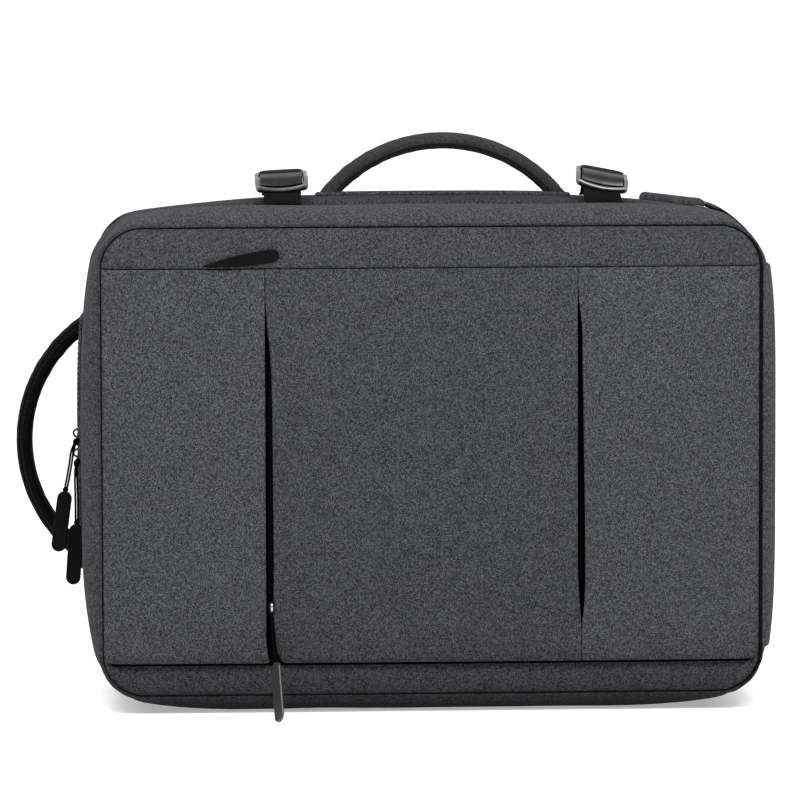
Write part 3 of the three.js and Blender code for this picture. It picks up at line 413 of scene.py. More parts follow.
def make(name, shell, kind, replaces=(), sharp=40):
    """Mesh object of a shell in a kind of finish, riding on the bag's body, in place of the named
    nodes."""
    mesh = bpy.data.meshes.new(name)
    faces = shell["quads"].tolist() + shell["tris"].tolist()
    mesh.from_pydata(shell["points"].tolist(), [], faces)
    layer = mesh.uv_layers.new(name="cloth")
    uv = np.concatenate([shell["quad_uv"].reshape(-1), shell["tri_uv"].reshape(-1)])
    layer.data.foreach_set("uv", uv.astype(np.float32))
    mesh.polygons.foreach_set("use_smooth", np.ones(len(faces), bool))
    mesh.set_sharp_from_angle(angle=math.radians(sharp))
    mesh.materials.append(finish_of(kind))
    mesh.update()
    piece = bpy.data.objects.new(name, mesh)
    bpy.context.scene.collection.objects.link(piece)
    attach(piece, "root")
    if replaces:
        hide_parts(*replaces)
    return piece


def carried(path, section, across):
    """A section's (across, out) pairs carried along a path. Out is square to the path and to
    across, and a section may change from point to point."""
    tangent = unit(np.gradient(path, axis=0))
    across = np.broadcast_to(across, path.shape)
    out = unit(np.cross(tangent, across))
    across = unit(np.cross(out, tangent))
    section = np.broadcast_to(section, (len(path),) + np.shape(section)[-2:])
    return (path[:, None] + section[..., :1] * across[:, None] + section[..., 1:] * out[:, None])


def swept(path, section, across):
    return tube(carried(path, section, across))


def oval(width, thickness, count, power=0.7):
    """Superellipse: each of cosine and sine to a power, times half the width or thickness."""
    angle = (np.arange(count) + 0.5) * 2 * np.pi / count
    c, s = np.cos(angle), np.sin(angle)
    return np.stack([
        np.sign(c) * np.abs(c) ** power * width / 2,
        np.sign(s) * np.abs(s) ** power * thickness / 2,
    ], -1)


def rounded_section(width, thickness, radius, steps=4):
    """Rectangle with round corners: four quarter turns about the corners' centres."""
    radius = min(radius, width / 2, thickness / 2)
    quarter = np.linspace(0, np.pi / 2, steps + 1)
    angle = np.concatenate([quarter + k * np.pi / 2 for k in range(4)])
    sign_x = np.repeat([1, -1, -1, 1], steps + 1)
    sign_y = np.repeat([1, 1, -1, -1], steps + 1)
    return np.stack([
        sign_x * (width / 2 - radius) + radius * np.cos(angle),
        sign_y * (thickness / 2 - radius) + radius * np.sin(angle),
    ], -1)


def capsule(length, radius, sides=6):
    """Short rod with round ends along the second axis: rings of a shrinking radius."""
    along = np.array([-0.5, -0.3, 0.3, 0.5]) * length
    around = np.array([0.45, 1, 1, 0.45]) * radius
    angle = np.arange(sides) * 2 * np.pi / sides
    points = np.stack([
        around[:, None] * np.cos(angle),
        np.broadcast_to(along[:, None], (4, sides)),
        around[:, None] * np.sin(angle),
    ], -1)
    return tube(points)


def stitching(path, face, pitch=3.4 * MM, length=2.5 * MM, radius=0.32 * MM):
    """A row of stitches on a path: rods of one length, a pitch apart, half sunk in the cloth."""
    walked = along_line(path)
    count = max(2, int(walked[-1] / pitch))
    at = (np.arange(count) + 0.5) * walked[-1] / count
    origins = sampled(at, walked, path)
    along = unit(sampled(at, walked, np.gradient(path, walked, axis=0)))
    face = unit(sampled(at, walked, np.broadcast_to(face, path.shape)))
    side = unit(np.cross(along, face))
    face = np.cross(side, along)
    return copied(capsule(length, radius), origins, np.stack([side, along, face], 1))


# Finishes

class Finish:
    """A material's nodes while they are put together."""

    def __init__(self, name, roughness, shine, metal=0.0):
        self.material = bpy.data.materials.new(name)
        self.material.use_nodes = True
        self.tree = self.material.node_tree
        self.shader = self.tree.nodes["Principled BSDF"]
        self.shader.inputs["Roughness"].default_value = roughness
        self.shader.inputs["Specular IOR Level"].default_value = shine
        self.shader.inputs["Metallic"].default_value = metal

    def node(self, kind, inputs=(), **settings):
        """A node with its settings, and its inputs linked or set by place or by name."""
        node = self.tree.nodes.new("ShaderNode" + kind)
        for key, value in settings.items():
            setattr(node, key, value)
        pairs = inputs.items() if isinstance(inputs, dict) else enumerate(inputs)
        for key, value in pairs:
            self.put(node.inputs[key], value)
        return node

    def put(self, socket, value):
        if isinstance(value, bpy.types.NodeSocket):
            self.tree.links.new(value, socket)
        else:
            socket.default_value = value

    def math(self, operation, *inputs):
        return self.node("Math", inputs, operation=operation).outputs[0]

    def sine(self, value, period):
        return self.math("SINE", self.math("MULTIPLY", value, 2 * math.pi / period))

    def vector(self, x, y, z=0.0):
        return self.node("CombineXYZ", (x, y, z)).outputs[0]

    def uv(self):
        uv = self.node("UVMap", uv_map="cloth").outputs[0]
        split = self.node("SeparateXYZ", (uv,))
        return split.outputs[0], split.outputs[1]

    def place(self):
        """The object's own coordinates."""
        return self.node("TexCoord").outputs["Object"]

    def noise(self, vector, scale, detail=2.0):
        return self.node("TexNoise", {"Vector": vector, "Scale": scale, "Detail": detail}).outputs["Fac"]

    def ramp(self, value, *stops):
        """Colour ramp with the given (place, colour) stops."""
        node = self.node("ValToRGB", (value,))
        elements = node.color_ramp.elements
        while len(elements) < len(stops):
            elements.new(0.5)
        for element, (at, colour) in zip(elements, stops):
            element.position = at
            element.color = (*colour, 1)
        return node.outputs["Color"]

    def colour(self, value):
        self.put(self.shader.inputs["Base Color"], value)

    def bump(self, height, distance, strength=1.0):
        node = self.node("Bump", {"Height": height, "Distance": distance, "Strength": strength})
        self.put(self.shader.inputs["Normal"], node.outputs[0])


def shade(colour, factor):
    return tuple(min(1, max(0, channel * factor)) for channel in colour)


def blend(a, b, share):
    return tuple(x + (y - x) * share for x, y in zip(a, b))


WEFT_PITCH, TWILL_PITCH, PLY_PITCH = 0.9 * MM, 1.1 * MM, 0.5 * MM

# Scale of the noise that tints the yarn, and the painted shade that darkens the cloth by its height over the
# floor
YARN_SCALE = 3.37
FLOOR_PAINTED_SHADE = 60 * MM
FLOOR_PAINTED_SHADE_LEVELS = ((0, 0.42), (0.25, 0.62), (0.5, 0.84), (1, 1))


def woven(finish, u, v, slub):
    """Plain weave: warp and weft tones are noise drawn out along each thread, twice as far along
    the warp, a checker picks which is on top, and the height is the round back of that thread."""
    pitch = bpy.context.scene.backpack_sizes.thread_pitch
    across, along = finish.math("DIVIDE", u, pitch), finish.math("DIVIDE", v, pitch)
    thread = finish.math("FLOOR", across)
    row = finish.math("FLOOR", along)
    warp = finish.noise(finish.vector(thread, finish.math("DIVIDE", along, slub)), YARN_SCALE, 1.0)
    weft = finish.noise(finish.vector(finish.math("DIVIDE", across, slub / 2), row, 7.3), YARN_SCALE, 1.0)
    parity = finish.math("PINGPONG", finish.math("ADD", thread, row), 1.0)
    tone = finish.node("Mix", {0: parity, 2: warp, 3: weft}).outputs[0]
    warp_back, weft_back = (finish.sine(finish.math("FRACT", way), 2) for way in (across, along))
    height = finish.node("Mix", {0: parity, 2: warp_back, 3: weft_back}).outputs[0]
    return tone, height


def heather_cloth(colours, name, tone):
    """Plain weave of two greys, with soft uneven patches, and painted shade that darkens it close to the
    floor.
    """
    finish = Finish(name, 0.92, 0.12)
    u, v = finish.uv()
    weave, height = woven(finish, u, v, 11.0)
    patches = finish.math("SUBTRACT", finish.noise(finish.place(), 60.0), 0.5)
    mixed = finish.math("MULTIPLY_ADD", patches, 0.05, weave)
    dark, light = shade(colours.heather_dark, tone), shade(colours.heather_light, tone)
    cloth = finish.ramp(mixed, (0.34, dark), (0.5, blend(dark, light, 0.36)), (0.66, light))
    # Painted shade: the cloth's colour is multiplied darker towards the floor, standing in for the shade
    # under the bag
    up = finish.node("SeparateXYZ", (finish.place(),)).outputs[2]
    height_share = finish.math("DIVIDE", up, FLOOR_PAINTED_SHADE)
    depth = finish.ramp(height_share, *((at, (level,) * 3) for at, level in FLOOR_PAINTED_SHADE_LEVELS))
    mix = {"Factor": 1.0, 6: cloth, 7: depth}
    finish.colour(finish.node("Mix", mix, data_type="RGBA", blend_type="MULTIPLY").outputs[2])
    finish.bump(height, 0.25 * MM, 0.7)
    return finish.material


def handle_cloth(colours, name, tone):
    """Fine dark weave with a slightly worn, uneven top."""
    finish = Finish(name, 0.85, 0.05)
    u, v = finish.uv()
    weave, height = woven(finish, u, v, 8.0)
    base = shade(colours.handle, tone)
    finish.colour(finish.ramp(weave, (0.28, shade(base, 0.55)), (0.5, base), (0.75, shade(base, 2.2))))
    finish.bump(height, 0.2 * MM, 0.7)
    return finish.material


def spacer_mesh(colours, name, cell):
    """Knitted spacer mesh: round holes in a staggered grid, dark inside."""
    finish = Finish(name, 0.85, 0.15)
    split = finish.node("SeparateXYZ", (finish.place(),))
    x, z = split.outputs[0], split.outputs[2]
    across = finish.math("DIVIDE", x, cell)
    row = finish.math("DIVIDE", z, cell * 0.87)
    shift = finish.math("MULTIPLY", finish.math("PINGPONG", finish.math("FLOOR", row), 1.0), 0.5)
    a = finish.math("SUBTRACT", finish.math("FRACT", finish.math("ADD", across, shift)), 0.5)
    b = finish.math("SUBTRACT", finish.math("FRACT", row), 0.5)
    squares = (finish.math("POWER", share, 2.0) for share in (a, b))
    reach = finish.math("SQRT", finish.math("ADD", *squares))
    knit = finish.math("SMOOTH_MAX", reach, 0.22, 0.1)
    fibre = finish.noise(finish.place(), 900.0)
    tone = finish.math("ADD", knit, finish.math("MULTIPLY", finish.math("SUBTRACT", fibre, 0.5), 0.2))
    base = colours.mesh
    finish.colour(finish.ramp(tone, (0.2, shade(base, 0.2)), (0.34, base), (0.62, shade(base, 1.9))))
    finish.bump(knit, 0.8 * MM, 0.8)
    return finish.material


def webbing_cloth(colours, name, rib, shine):
    """Ribbed webbing: ribs along the strap crossed by fine weft lines."""
    finish = Finish(name, 0.5, shine)
    u, v = finish.uv()
    ribs, wefts = finish.sine(v, rib), finish.sine(u, WEFT_PITCH)
    tone = finish.math("ADD", finish.math("MULTIPLY", ribs, 0.3), finish.math("MULTIPLY", wefts, 0.2))
    fibre = finish.noise(finish.vector(u, v), 700.0)
    level = finish.math("ADD", finish.math("ADD", tone, 0.25), fibre)
    base = colours.webbing
    finish.colour(finish.ramp(level, (0.3, shade(base, 0.5)), (0.75, base), (1.0, shade(base, 2.6))))
    finish.bump(tone, 0.3 * MM, 0.8)
    return finish.material


def tape_cloth(colours, name, tone):
    """Twilled zip tape: fine slanted lines."""
    finish = Finish(name, 0.9, 0.02)
    u, v = finish.uv()
    slant = finish.sine(finish.math("ADD", u, v), TWILL_PITCH)
    fibre = finish.noise(finish.vector(u, v), 800.0)
    base = shade(colours.webbing, tone)
    finish.colour(finish.ramp(fibre, (0.3, shade(base, 0.4)), (0.7, shade(base, 1.3))))
    finish.bump(slant, 0.15 * MM, 0.6)
    return finish.material


def cord_braid(colours, name, pitch):
    """Braided cord: two slants of lines crossing round the strand."""
    finish = Finish(name, 0.8, 0.0)
    u, v = finish.uv()
    one = finish.sine(finish.math("ADD", u, v), pitch)
    two = finish.sine(finish.math("SUBTRACT", u, v), pitch)
    tone = finish.math("MULTIPLY", finish.math("ADD", one, two), 0.25)
    base = colours.webbing
    level = finish.math("ADD", tone, 0.5)
    finish.colour(finish.ramp(level, (0.1, shade(base, 0.4)), (0.9, shade(base, 1.4))))
    finish.bump(tone, 0.15 * MM, 0.8)
    return finish.material


def moulded(colours, name, source, tone, roughness, shine):
    """Moulded surface: fine spark-eroded grain and slightly uneven gloss."""
    colour = shade(getattr(colours, source), tone)
    finish = Finish(name, roughness, shine)
    grain = finish.noise(finish.place(), 2500.0)
    clouds = finish.noise(finish.place(), 90.0, 3.0)
    finish.colour(finish.ramp(clouds, (0.3, shade(colour, 0.85)), (0.7, shade(colour, 1.25))))
    gloss = finish.node("MapRange", {"Value": clouds, 3: roughness - 0.06, 4: roughness + 0.08})
    finish.put(finish.shader.inputs["Roughness"], gloss.outputs[0])
    finish.bump(grain, 0.05 * MM, 0.35)
    return finish.material


def cast_metal(colours, name, tone, roughness):
    """Satin die-cast metal: soft clouds in the gloss, fine brushing and darker low spots."""
    colour = shade(colours.metal, tone)
    finish = Finish(name, roughness, 0.5, metal=1.0)
    clouds = finish.noise(finish.place(), 120.0, 3.0)
    split = finish.node("SeparateXYZ", (finish.place(),))
    brushed = finish.noise(
        finish.vector(finish.math("MULTIPLY", split.outputs[0], 0.06), split.outputs[1], split.outputs[2]),
        3500.0, 1.0)
    finish.colour(finish.ramp(clouds, (0.3, shade(colour, 0.72)), (0.7, colour)))
    gloss = finish.node("MapRange", {"Value": brushed, 3: roughness - 0.08, 4: roughness + 0.1})
    finish.put(finish.shader.inputs["Roughness"], gloss.outputs[0])
    finish.bump(brushed, 0.03 * MM, 0.25)
    return finish.material


def thread(colours, name, tone):
    """Twisted sewing thread: fine slanted plies."""
    finish = Finish(name, 0.6, 0.15)
    split = finish.node("SeparateXYZ", (finish.place(),))
    twist = finish.math("ADD", split.outputs[0], finish.math("ADD", split.outputs[1], split.outputs[2]))
    plies = finish.sine(twist, PLY_PITCH)
    level = finish.math("MULTIPLY_ADD", plies, 0.5, 0.5)
    low, high = shade(colours.webbing, tone * 0.6), shade(colours.webbing, tone * 1.6)
    finish.colour(finish.ramp(level, (0.1, low), (0.9, high)))
    finish.bump(plies, 0.08 * MM, 0.5)
    return finish.material


def pale_floor(colours, name, glow):
    """White paper lit a little from below, with a trace of grain."""
    finish = Finish(name, 0.9, 0.0)
    grain = finish.noise(finish.place(), 40.0)
    finish.colour(finish.ramp(grain, (0.3, (0.78, 0.78, 0.78)), (0.7, (0.8, 0.8, 0.8))))
    finish.shader.inputs["Emission Color"].default_value = (1, 1, 1, 1)
    finish.shader.inputs["Emission Strength"].default_value = glow
    return finish.material


# Each finish's function, its material's name and what else the function takes
FINISHES = {
    "heather": (heather_cloth, "heather_cloth", 1.0),
    # side_heather: the same cloth in a lighter copy, painted light on the pocket flap, the pleated side and
    # the raised base
    "side_heather": (heather_cloth, "side_heather_cloth", 1.17),
    # rear_heather: the same cloth in a darker copy, painted shade on the rear gusset and the yoke
    "rear_heather": (heather_cloth, "rear_heather_cloth", 0.74),
    "bound": (heather_cloth, "bound_cloth", 0.8),
    "handle": (handle_cloth, "handle_cloth", 1.0),
    # side_handle: the handle cloth painted far darker, painted shade for the less lit left side
    "side_handle": (handle_cloth, "side_handle_cloth", 0.11),
    "tab": (handle_cloth, "tab_cloth", 1.55),
    "mesh": (spacer_mesh, "spacer_mesh", 2.6 * MM),
    "webbing": (webbing_cloth, "webbing", 1.6 * MM, 0.03),
    "wrap": (webbing_cloth, "satin_webbing", 1.6 * MM, 0.02),
    "binding": (webbing_cloth, "binding", 1.2 * MM, 0.03),
    "tape": (tape_cloth, "zip_tape", 1.0),
    # piping: the dark seam cord's cloth, partly the real binding's colour and partly painted shade of the
    # groove
    "piping": (tape_cloth, "piping_cloth", 1.6),
    # lining: the tape cloth near black, painted shade behind the slit, the pleat and the cross seams
    "lining": (tape_cloth, "seam_lining", 0.2),
    "braid": (cord_braid, "cord_braid", 1.0 * MM),
    "rubber": (moulded, "pull_rubber", "rubber", 1, 0.5, 0.05),
    # gloss_rubber: glossier rubber, its colour painted five times lighter than the other pads' as painted
    # reflection
    "gloss_rubber": (moulded, "gloss_rubber", "rubber", 5, 0.36, 0.9),
    "plastic": (moulded, "moulded_plastic", "plastic", 1, 0.4, 0.15),
    "coil": (moulded, "coil_plastic", "plastic", 1, 0.45, 0.04),
    "metal": (cast_metal, "buckle_metal", 1, 0.22),
    "plate": (cast_metal, "plate_metal", 0.3, 0.2),
    # bridge: metal painted four times lighter, a painted highlight on the pocket slider's bridge
    "bridge": (cast_metal, "bridge_metal", 4, 0.3),
    "dark_bridge": (cast_metal, "dark_bridge_metal", 0.4, 0.25),
    "slider": (cast_metal, "slider_metal", 0.08, 0.24),
    "thread": (thread, "dark_thread", 1.6),
    "grey_thread": (thread, "grey_thread", 4.5),
    "floor": (pale_floor, "pale_floor", 0.36),
}


def finish_of(kind):
    """The named finish, made when it is first asked for. The scene keeps its material's name,
    because the frame's own materials have some of the same names."""
    scene = bpy.context.scene
    if "finish_" + kind not in scene:
        function, name, *settings = FINISHES[kind]
        scene["finish_" + kind] = function(scene.backpack_colours, name, *settings).name
    return bpy.data.materials[scene["finish_" + kind]]


# The panel's outline and the gussets on it

RUN_X, RUN_Z = HALF_WIDTH - CORNER, HALF_HEIGHT - CORNER
ARC = CORNER * math.pi / 2
AROUND = 4 * (RUN_X + RUN_Z) + 4 * ARC
GUSSET_STEPS, PIPING_STEPS, PIPING_SIDES = 640, 900, 14

# Powers by which each side's bulge fades towards the corners
FRONT_TOP_POWER, REAR_TOP_POWER, BOTTOM_POWER = 7, 3, 7
RIGHT_POWER, LEFT_POWER = 5, 3.4


def outline(distance, radius=CORNER):
    """Rounded rectangle walked from the right side's lower end up and round: four runs and four
    quarter turns. Gives x, z about the panel's centre and the outward normal."""
    distance = np.mod(distance, AROUND)
    lengths = [2 * RUN_Z, ARC, 2 * RUN_X, ARC] * 2
    starts = np.concatenate([[0], np.cumsum(lengths)])
    k = np.clip(np.searchsorted(starts, distance, side="right") - 1, 0, 7)
    past = distance - starts[k]
    bend = k % 2 == 1
    angle = (k // 2) * math.pi / 2 + np.where(bend, past / CORNER, 0)
    corner_x = np.array([1, 1, 1, -1, -1, -1, -1, 1])[k] * RUN_X
    corner_z = np.array([-1, 1, 1, 1, 1, -1, -1, -1])[k] * RUN_Z
    nx, nz = np.cos(angle), np.sin(angle)
    run = np.where(bend, 0, past)
    return corner_x + radius * nx - run * nz, corner_z + radius * nz + run * nx, nx, nz


def top_distance(x):
    return 2 * RUN_Z + ARC + RUN_X - x


def left_distance(z):
    return 2 * RUN_Z + 2 * ARC + 2 * RUN_X + RUN_Z - (z - CENTRE_Z)


def corner_distance(share):
    """Along the top right corner, from its top end to its right end."""
    return 2 * RUN_Z + ARC * (1 - share)


def gusset(sizes, front, distance, y, lift=0.0):
    """Point and normal of a gusset: the outline pushed out along its normal by the side's bulge,
    which fades towards the corners by a power, times the crest at that depth; pressed flat
    on the floor."""
    x, z, nx, nz = outline(distance)
    across = np.minimum(1, np.abs(x) / HALF_WIDTH)
    up = np.minimum(1, np.abs(z) / HALF_HEIGHT)
    top_bulge = sizes.front_top_bulge if front else sizes.rear_top_bulge
    top_power = FRONT_TOP_POWER if front else REAR_TOP_POWER
    vertical = np.where(nz > 0, top_bulge * (1 - across ** top_power),
                        sizes.bottom_bulge * (1 - across ** BOTTOM_POWER))
    sideways = np.where(nx > 0, sizes.right_bulge * (1 - up ** RIGHT_POWER),
                        sizes.left_bulge * (1 - up ** LEFT_POWER))
    low, high = FRONT_SHELL_Y if front else REAR_SHELL_Y
    crest = eased(np.clip((y - low) / (high - low), 0, 1), FRONT_CREST if front else REAR_CREST)
    out = (nz ** 2 * vertical + nx ** 2 * sideways) * crest
    point = together(
        x + nx * (out + lift),
        y,
        np.maximum(0, CENTRE_Z + z + nz * out) + nz * lift,
    )
    normal = together(nx, 0 * nx, nz)
    return point, normal


def gusset_patch(sizes, front, start, end, low_y, high_y, lift, thickness, counts, edge=1.2 * MM):
    """Slab lying on a gusset between two distances round it, with rolled edges."""
    distance = start + (end - start) * clustered(counts[0])[:, None]
    y = low_y + (high_y - low_y) * clustered(counts[1])[None, :]
    margin = np.minimum(np.minimum(distance - min(start, end), max(start, end) - distance),
                        np.minimum(y - low_y, high_y - y))
    roll = rolled(margin, edge, thickness * 0.8)
    upper, _ = gusset(sizes, front, distance, y, lift + thickness - roll)
    lower, _ = gusset(sizes, front, distance, y, lift)
    return slab(upper, lower, u=start + (end - start) * clustered(counts[0]),
                v=low_y + (high_y - low_y) * clustered(counts[1]))


def gusset_shell(sizes, front):
    """The whole gusset: outside, rolled edges and inside, a wall apart, all the way round, with
    puckers that die away from the bound seam."""
    low, high = FRONT_SHELL_Y if front else REAR_SHELL_Y
    low, high = (low - EDGE_REACH, high) if front else (low, high + EDGE_REACH)
    distance = (np.arange(GUSSET_STEPS) / GUSSET_STEPS * AROUND)[:, None]
    y = (low + (high - low) * clustered(46))[None, :]
    bound, free = (y - low, high - y) if front else (high - y, y - low)
    fade = np.exp(-bound / (9 * MM)) * (1 - np.exp(-bound / (1.5 * MM)))
    pucker = sizes.pucker * ripple(distance, 11 * MM, 3 + front, AROUND) * fade
    slack = 0.35 * MM * ripple(distance + 0.6 * y, 90 * MM, 8 + front, AROUND)
    edge = rolled(free, 1.6 * MM, WALL * 0.45)
    outside, _ = gusset(sizes, front, distance, y, pucker + slack - edge)
    inside, _ = gusset(sizes, front, distance, y, -WALL)
    outside[..., 2] = np.maximum(0, outside[..., 2])
    inside[..., 2] = np.maximum(WALL, inside[..., 2])
    around = np.concatenate([y[0], y[0, ::-1], y[0, :1]])
    return tube(np.concatenate([outside, inside[:, ::-1]], 1), ring=True,
                u=np.arange(GUSSET_STEPS + 1) / GUSSET_STEPS * AROUND, v=around)


def base_panel_shell(sizes):
    """Raised panel over the right side's straight run, across both gussets and the zip."""
    lengths = clustered(150) * 2 * RUN_Z
    front_y = FRONT_SHELL_Y[0] + (FRONT_SHELL_Y[1] - FRONT_SHELL_Y[0]) * clustered(40)
    rear_y = REAR_SHELL_Y[0] + (REAR_SHELL_Y[1] - REAR_SHELL_Y[0]) * clustered(50)
    distance = lengths[:, None]
    lift, thickness = 0.4 * MM, 2 * MM

    def strip(extra):
        halves = []
        for front, ys in ((True, front_y), (False, rear_y)):
            y = ys[None, :]
            margin = np.minimum(np.minimum(distance, 2 * RUN_Z - distance),
                                np.minimum(y - front_y[0], rear_y[-1] - y))
            roll = rolled(margin, 1.2 * MM, thickness * 0.8) * (extra > 0)
            halves.append(gusset(sizes, front, distance, y, lift + extra - roll)[0])
        return np.concatenate(halves, 1)

    return slab(strip(thickness), strip(0.0), u=lengths, v=np.concatenate([front_y, rear_y]))


# Front face

def inside_distance(x, z):
    """How far a point of the front face is inside the piping, by the rounded box's formula."""
    radius = CORNER - PANEL_INSET
    qx, qz = np.abs(x) - RUN_X, np.abs(z) - RUN_Z
    outside = np.hypot(np.maximum(qx, 0), np.maximum(qz, 0))
    return radius - outside - np.minimum(np.maximum(qx, qz), 0)


def reach_x(z):
    """Half the width inside the piping at a height about the panel's centre."""
    radius = CORNER - PANEL_INSET
    past = np.clip(np.abs(z) - RUN_Z, 0, radius)
    return RUN_X + np.sqrt(radius ** 2 - past ** 2)


def face_depth(x, z):
    """Depth of the front face: a crown that falls by the cube of the share of the way to the
    edge, less a roll into the piping, with faint slack."""
    share = ((np.abs(x) / HALF_WIDTH) ** 8 + (np.abs(z) / HALF_HEIGHT) ** 8) ** (1 / 8)
    crown = PANEL_CROWN * (1 - np.minimum(share, 1) ** 3)
    inside = inside_distance(x, z)
    edge = rolled(inside, 4 * MM, 1.9 * MM)
    slack = 0.3 * MM * (ripple(x + 0.3 * z, 130 * MM, 21) + ripple(z - 0.2 * x, 110 * MM, 22))
    return FRONT_Y - crown + edge - slack * np.clip(inside / (30 * MM), 0, 1)


def fold_share(z, top, bottom, shares):
    """How open a fold is at a height: nothing above and below it."""
    down = (top - z) / (top - bottom)
    inside = (down > 0) & (down < 1)
    return np.where(inside, eased(np.clip(down, 0, 1), shares), 0)


def slit_share(z):
    return fold_share(z, SLIT_TOP, SLIT_BOTTOM, SLIT_SHARES)


def pleat_share(z):
    return fold_share(z, PLEAT_TOP, PLEAT_BOTTOM, PLEAT_SHARES)


def slit_edge(z):
    """Right edge of the pocket's slit at a height above the floor."""
    return FLAP_EDGE + 0.4 * MM + SLIT_WIDTH * slit_share(z)


def fold_roll(distance, share):
    """Roll of a fold's edge: a faint crease where it is shut and a full turn where it is open."""
    return rolled(distance, (0.5 + 0.9 * share) * MM, (0.3 + 1.5 * share) * MM)


def cloth_slab(x, z, depth):
    """Cloth of one thickness whose outside lies at the given depth."""
    height = z + 0 * x + CENTRE_Z
    front = together(x, depth, height)
    back = together(x, depth + CLOTH, height)
    return slab(front, back, u=x[:, x.shape[1] // 2], v=height[0])


def top_band_shell():
    """Top band from the upper seam to the piping, its lower edge rolled to the seam."""
    low, high = TOP_SEAM_Z + SEAM_HALF, CENTRE_Z + HALF_HEIGHT - PANEL_INSET
    z = (low + (high - low) * np.sin(clustered(40, 0.5) * np.pi / 2))[None, :] - CENTRE_Z
    x = (2 * clustered(420)[:, None] - 1) * reach_x(z)
    seam = z + CENTRE_Z - low
    pucker = 0.12 * MM * ripple(x, 9 * MM, 51) * np.exp(-seam / (5 * MM))
    return cloth_slab(x, z, face_depth(x, z) + rolled(seam, 3 * MM, 1.7 * MM) - pucker)


def bottom_band_shell(sizes):
    """Bottom band: it starts behind the panels that hang over it and comes out to the piping."""
    low, high = CENTRE_Z - HALF_HEIGHT + PANEL_INSET, BOTTOM_SEAM_Z - SEAM_HALF + 1.5 * MM
    rise = 1 - np.cos((1 - clustered(40, 0.5)[::-1]) * np.pi / 2)
    z = (low + (high - low) * rise)[None, :] - CENTRE_Z
    x = (2 * clustered(420)[:, None] - 1) * reach_x(z)
    seam = high - z - CENTRE_Z
    side = np.clip(inside_distance(x, z) / (9 * MM), 0, 1)
    tucked = (4.2 * MM + sizes.overhang) * np.exp(-(seam / (10 * MM)) ** 1.3) * (0.3 + 0.7 * side)
    pucker = 0.15 * MM * ripple(x, 12 * MM, 52) * np.exp(-seam / (7 * MM))
    return cloth_slab(x, z, face_depth(x, z) + tucked - pucker)


def panel_rows():
    low, high = BOTTOM_SEAM_Z + SEAM_HALF, TOP_SEAM_Z - SEAM_HALF
    return (low + (high - low) * clustered(280))[None, :] - CENTRE_Z


SINK_OUT, SINK_UP, SINK_DEPTH = 7 * MM, 6 * MM, 4.5 * MM
SINK_WIDTH, SINK_HEIGHT = 5.5 * MM, 10 * MM


def seam_rolls(sizes, x, z):
    """Roll into the seam above, and the fuller one over the band below, with faint puckers. The
    panel also sinks towards the lower end of the slit."""
    above = TOP_SEAM_Z - SEAM_HALF - z - CENTRE_Z
    below = z + CENTRE_Z - BOTTOM_SEAM_Z - SEAM_HALF
    side = np.clip(inside_distance(x, z) / (9 * MM), 0, 1)
    hang = sizes.overhang * np.exp(-below / (12 * MM)) * side
    fade = np.exp(-above / (6 * MM)) + np.exp(-below / (6 * MM))
    pucker = 0.12 * MM * ripple(x, 10 * MM, 53) * fade
    sunk = bell(x - SLIT_X - SINK_OUT, SINK_WIDTH) * bell(below - SINK_UP, SINK_HEIGHT)
    folds = rolled(above, 2 * MM, 1.4 * MM) + rolled(below, 6.5 * MM, 4.2 * MM)
    return folds - hang - pucker + SINK_DEPTH * sunk * (x > SLIT_X)


def flap_shell(sizes):
    """Pocket flap from the left piping to the slit, its free edge folded and drawn a little to
    the right near the seam below."""
    z = panel_rows()
    left = -reach_x(z)
    free = FLAP_EDGE + 2 * MM * bell(z + CENTRE_Z - BOTTOM_SEAM_Z, 8 * MM)
    x = left + (free - left) * clustered(150)[:, None]
    edge = fold_roll(free - x, np.minimum(1, slit_share(z + CENTRE_Z)))
    return cloth_slab(x, z, face_depth(x, z) + seam_rolls(sizes, x, z) + edge)


def front_panel_leaves(sizes):
    """Main panel from the slit to the right piping, in two leaves that part at the pleat: the
    left leaf's edge is straight and the right one's bows, and both turn in where it is open."""
    z = panel_rows()
    height = z + CENTRE_Z
    left, right = slit_edge(height), reach_x(z)
    down = (PLEAT_DRIFT_START - height) / (PLEAT_DRIFT_START - PLEAT_BOTTOM)
    open_at = PLEAT_X + PLEAT_DRIFT * np.clip(down, 0, 1) ** 1.5
    middle = left + (open_at - left) * clustered(170)[:, None]
    bowed = open_at + 0.4 * MM + PLEAT_WIDTH * pleat_share(height)
    beyond = bowed + (right - bowed) * clustered(130)[:, None]
    slack = 0.8 * MM * pleat_share(height)
    leaves = []
    for x, turned in ((middle, open_at - middle), (beyond, beyond - bowed)):
        edge = fold_roll(turned, pleat_share(height)) - slack * np.exp(-turned / (14 * MM))
        slit = fold_roll(x - left, slit_share(height)) if x is middle else 0
        leaves.append(cloth_slab(x, z, face_depth(x, z) + seam_rolls(sizes, x, z) + edge + slit))
    return leaves


def pleat_lining_shell():
    """Near-black tape behind the pleat, a sheet of painted shade that shows through its opening."""
    z = np.linspace(BOTTOM_SEAM_Z + 2 * MM, TOP_SEAM_Z - 2 * MM, 60)
    x = PLEAT_X + PLEAT_WIDTH * 0.4
    line = together(x, face_depth(x, z - CENTRE_Z) + 4.5 * MM, z)
    return swept(line, rounded_section(LINING_WIDTH, 0.8 * MM, 0.3 * MM, 2), RIGHTWARD)


def seam_lining_shell(height):
    """Near-black tape behind a cross seam, from piping to piping, painted shade that shows through the seam.
    """
    x = np.linspace(-1, 1, 120) * (reach_x(height - CENTRE_Z) - 3 * MM)
    line = together(x, face_depth(x, height - CENTRE_Z) + 4 * MM, height)
    return swept(line, rounded_section(3 * MM, 1.2 * MM, 0.3 * MM, 2), UPWARD)


# Zips

